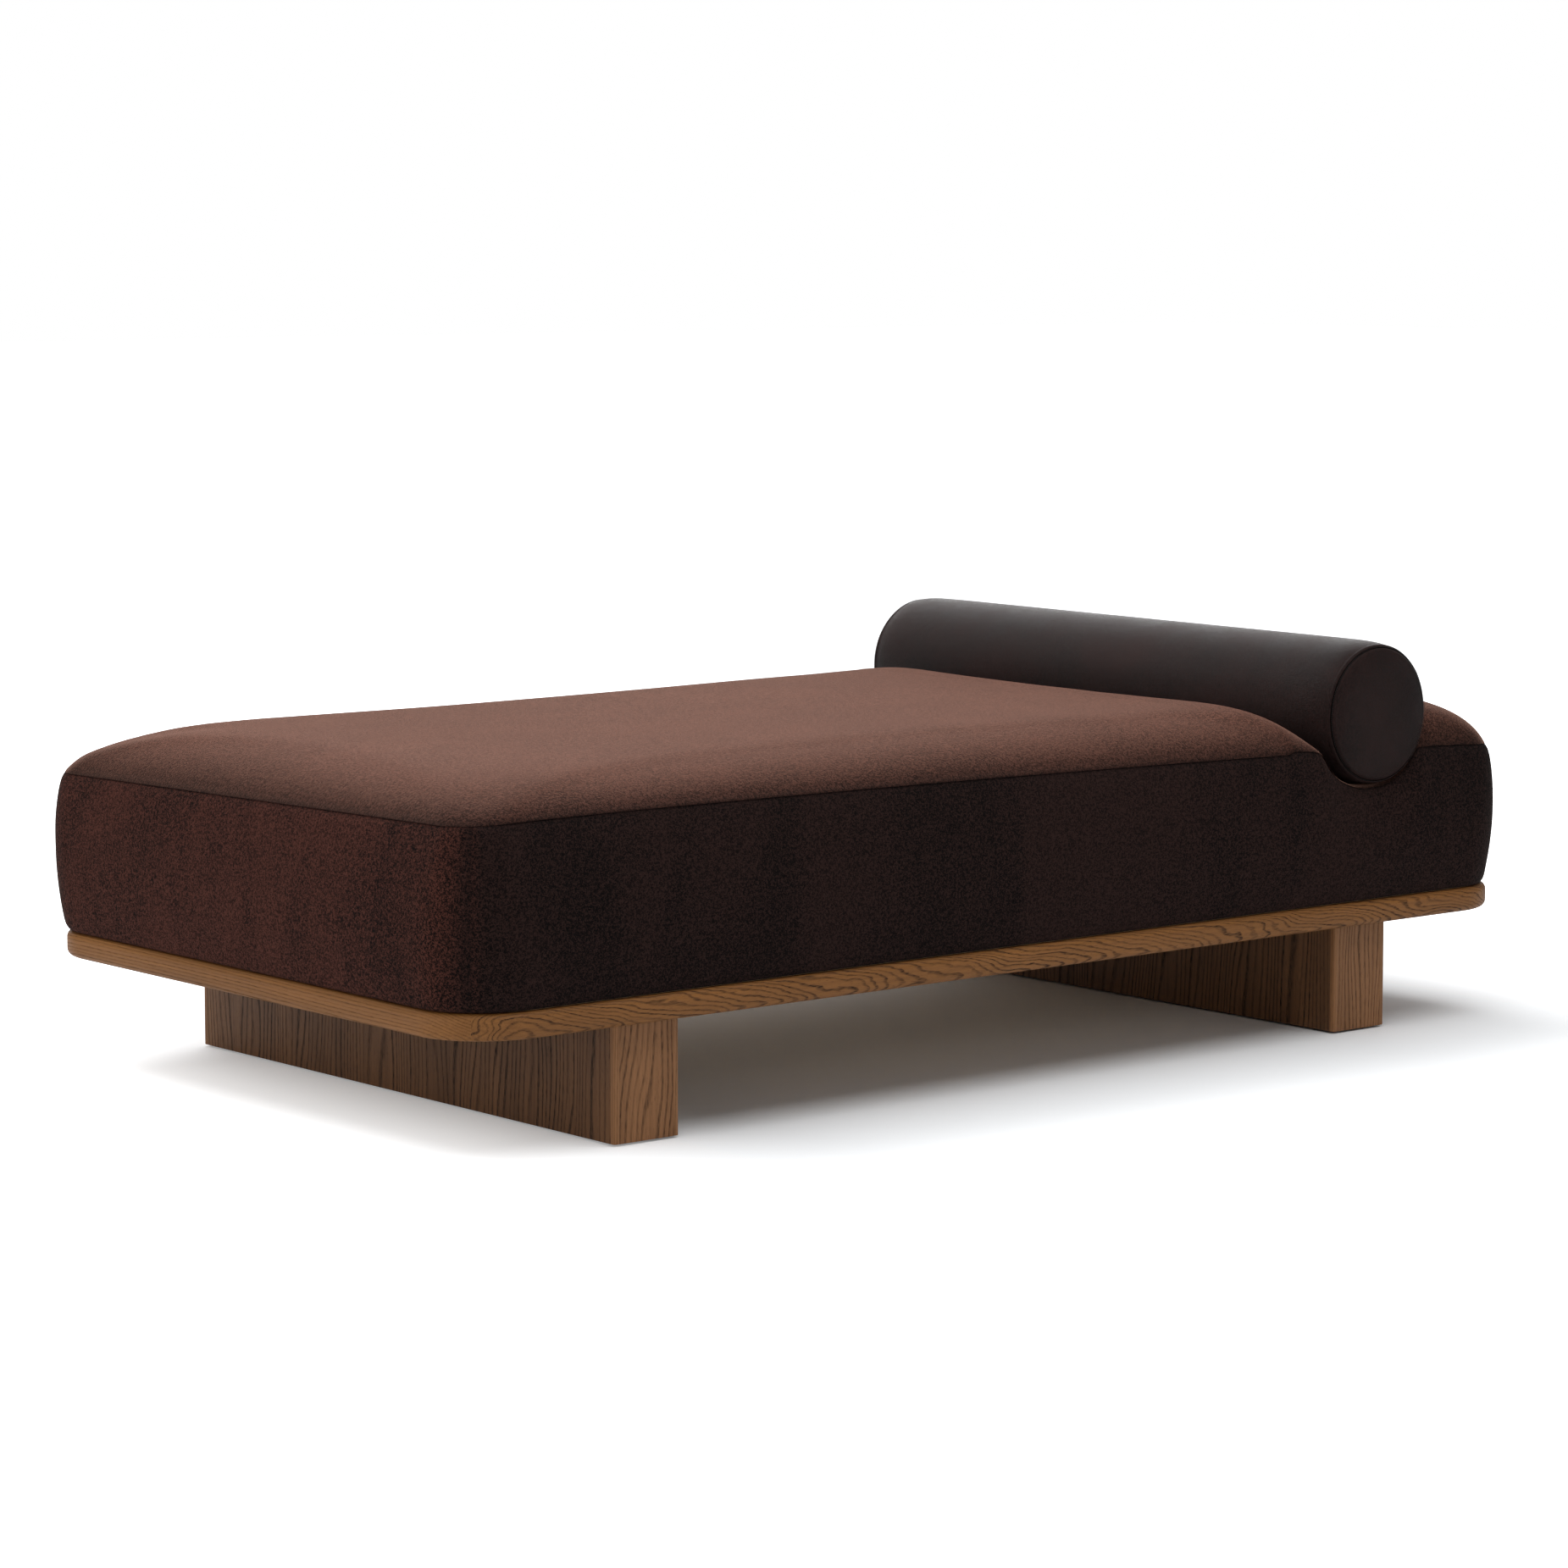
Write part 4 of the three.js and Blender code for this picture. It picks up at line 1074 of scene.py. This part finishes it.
# ---------------------------------------------------------------------------------------------
# Stitches. A ring of short waxed threads lies in the groove of each end seam, a few millimetres
# apart. They are laid along a circle by a node tree and lift off with the bolster.

STITCH_PITCH = 3.1 * MM
STITCH_LENGTH = 2.1 * MM
THREAD = 0.38 * MM
STITCH_RING = BOLSTER_SEAM_RADIUS - 0.4 * MM
STITCH_OUT = 0.2 * MM


def thread():
    material, tree, shader, where = new_material("waxed_thread")
    twist = noise(tree, where, 2600, 2.0, 0.5)
    wax = mix(tree, twist, (0.004, 0.003, 0.003), (0.016, 0.011, 0.010))
    feed(tree, shader, Base_Color=wax, Roughness=span(tree, twist, 0.3, 0.7, 0.45, 0.65))
    return material


def stitch_tree(material):
    """A node tree that sets one thread at every pitch along a line."""
    tree = bpy.data.node_groups.new("stitches_along_line", "GeometryNodeTree")
    tree.interface.new_socket("Geometry", in_out="INPUT", socket_type="NodeSocketGeometry")
    for label in ("Pitch", "Stitch Length", "Thread Radius"):
        tree.interface.new_socket(label, in_out="INPUT", socket_type="NodeSocketFloat")
    tree.interface.new_socket("Geometry", in_out="OUTPUT", socket_type="NodeSocketGeometry")
    start, end = tree.nodes.new("NodeGroupInput"), tree.nodes.new("NodeGroupOutput")
    line = put(tree, "GeometryNodeMeshToCurve", {"Mesh": start.outputs["Geometry"]}).outputs[0]
    feeds = {"Curve": line, "Length": start.outputs["Pitch"]}
    steps = put(tree, "GeometryNodeResampleCurve", feeds, mode="LENGTH").outputs[0]
    bead = put(tree, "GeometryNodeMeshUVSphere", {"Segments": 6, "Rings": 4, "Radius": 1.0}).outputs[0]
    half = math_node(tree, "MULTIPLY", start.outputs["Stitch Length"], 0.5)
    thick = start.outputs["Thread Radius"]
    size = put(tree, "ShaderNodeCombineXYZ", {0: thick, 1: thick, 2: half}).outputs[0]
    heading = put(tree, "GeometryNodeInputTangent").outputs[0]
    turn = put(tree, "FunctionNodeAlignRotationToVector", {"Vector": heading}, axis="Z").outputs[0]
    feeds = {"Points": steps, "Instance": bead, "Rotation": turn, "Scale": size}
    spread = put(tree, "GeometryNodeInstanceOnPoints", feeds).outputs[0]
    real = put(tree, "GeometryNodeRealizeInstances", {"Geometry": spread}).outputs[0]
    dressed = put(tree, "GeometryNodeSetMaterial", {"Geometry": real, "Material": material}).outputs[0]
    tree.links.new(dressed, end.inputs[0])
    return tree


def grown(name, ring, tree, sizes, material):
    """Runs a node tree along a closed ring of points and keeps the result as a plain mesh."""
    line = bpy.data.meshes.new(f"{name}_line")
    edges = [(i, (i + 1) % len(ring)) for i in range(len(ring))]
    line.from_pydata([tuple(p) for p in ring], edges, [])
    carrier = added(f"{name}_line", line)
    nodes = carrier.modifiers.new("grow", "NODES")
    nodes.node_group = tree
    for item in tree.interface.items_tree:
        if item.in_out == "INPUT" and item.name in sizes:
            nodes[item.identifier] = sizes[item.name]
    made = bpy.data.meshes.new_from_object(carrier.evaluated_get(bpy.context.evaluated_depsgraph_get()))
    bpy.data.objects.remove(carrier)
    made.name = name
    made.materials.clear()
    made.materials.append(material)
    made.shade_smooth()
    return added(name, made)


WAXED_THREAD = thread()
STITCHES = stitch_tree(WAXED_THREAD)
STITCH_SIZES = {"Pitch": STITCH_PITCH, "Stitch Length": STITCH_LENGTH, "Thread Radius": THREAD}
for end_name, side in (("near", -1), ("far", 1)):
    ring = laid_in_channel(hoop(side * (bolster_half + STITCH_OUT), STITCH_RING, 180))
    stitches = grown(f"bolster_{end_name}_stitches", ring, STITCHES, STITCH_SIZES, WAXED_THREAD)
    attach(stitches, "bolster")


# ---------------------------------------------------------------------------------------------
# Studio. A pale seamless paper floor, a broad soft light overhead, another behind the head end,
# weaker ones from the foot end and the front, and a long lens turned towards the near foot corner.

FLOOR_REACH = 40.0
SHADE_CENTRE = (0.20, 0, 0)
SHADE_HALF = (0.67, 0.62, 0)
SHADE_FADE = 0.75


def studio_floor():
    """The floor sheet. Away from the daybed's own shade it is painted with a white glow that only the camera
    sees, so it runs out to white.
    """
    r = FLOOR_REACH
    mesh = bpy.data.meshes.new("studio_floor")
    mesh.from_pydata([(-r, -r, 0), (r, -r, 0), (r, r, 0), (-r, r, 0)], [], [(0, 1, 2, 3)])
    material, tree, shader, where = new_material("studio_paper")
    fibre = noise(tree, where, 35, 4.0, 0.6)
    paper = mix(tree, fibre, (0.845, 0.86, 0.875), (0.865, 0.88, 0.895))
    plan = vector_node(tree, "ABSOLUTE", vector_node(tree, "SUBTRACT", where, SHADE_CENTRE))
    past = vector_node(tree, "MAXIMUM", vector_node(tree, "SUBTRACT", plan, SHADE_HALF), (0, 0, 0))
    away = put(tree, "ShaderNodeVectorMath", {0: past}, operation="LENGTH").outputs["Value"]
    # Painted light: the floor glows white for the camera, more the further it lies from the daybed, and so
    # covers the shade cast on it there.
    seen = put(tree, "ShaderNodeLightPath").outputs["Is Camera Ray"]
    glow = math_node(tree, "MULTIPLY", span(tree, away, 0.0, SHADE_FADE), seen)
    feed(tree, shader, Base_Color=paper, Roughness=0.9, Specular_IOR_Level=0.1)
    feed(tree, shader, Emission_Color=(1, 1, 1, 1), Emission_Strength=glow)
    mesh.materials.append(material)
    added("studio_floor", mesh)


def soft_light(name, place, target, width, height, power):
    data = bpy.data.lights.new(name, "AREA")
    data.shape = "RECTANGLE"
    data.size = width
    data.size_y = height
    data.energy = power
    light = added(name, data)
    light.location = place
    light.rotation_mode = "QUATERNION"
    light.rotation_quaternion = (Vector(target) - Vector(place)).to_track_quat("-Z", "Y")


def studio_sky(strength):
    """Even grey light from all round, which the camera sees as plain white."""
    world = bpy.data.worlds.new("studio")
    bpy.context.scene.world = world
    world.use_nodes = True
    tree = world.node_tree
    tree.nodes.clear()
    white = {"Color": (1, 1, 1, 1)}
    seen = put(tree, "ShaderNodeBackground", {**white, "Strength": 1.0}).outputs[0]
    light = put(tree, "ShaderNodeBackground", {**white, "Strength": strength}).outputs[0]
    by_camera = put(tree, "ShaderNodeLightPath").outputs["Is Camera Ray"]
    chosen = put(tree, "ShaderNodeMixShader", {0: by_camera, 1: light, 2: seen}).outputs[0]
    put(tree, "ShaderNodeOutputWorld", {"Surface": chosen})


studio_floor()
studio_sky(0.30)
soft_light("overhead", (-0.3, 0.1, 3.4), (0.0, 0.1, 0.3), 6.2, 5.0, 222)
soft_light("back_wall", (2.8, 4.2, 1.9), (0.3, 0, 0.4), 6.0, 2.6, 98)
soft_light("low_left", (-4.4, 0.6, 1.1), (-0.6, 0.2, 0.0), 3.4, 1.6, 34)
soft_light("front_fill", (-0.6, -4.6, 1.7), (0, 0, 0.2), 3.6, 1.4, 15)

camera_data = bpy.data.cameras.new("camera")
camera_data.lens = 106.0
camera_data.sensor_width = 36.0
camera = added("camera", camera_data)
camera.location = (-4.350, -5.211, 1.185)
camera.rotation_euler = (math.radians(90 - 6.778), 0, math.radians(-39.640))
bpy.context.scene.camera = camera
bpy.context.scene.view_settings.view_transform = "Standard"
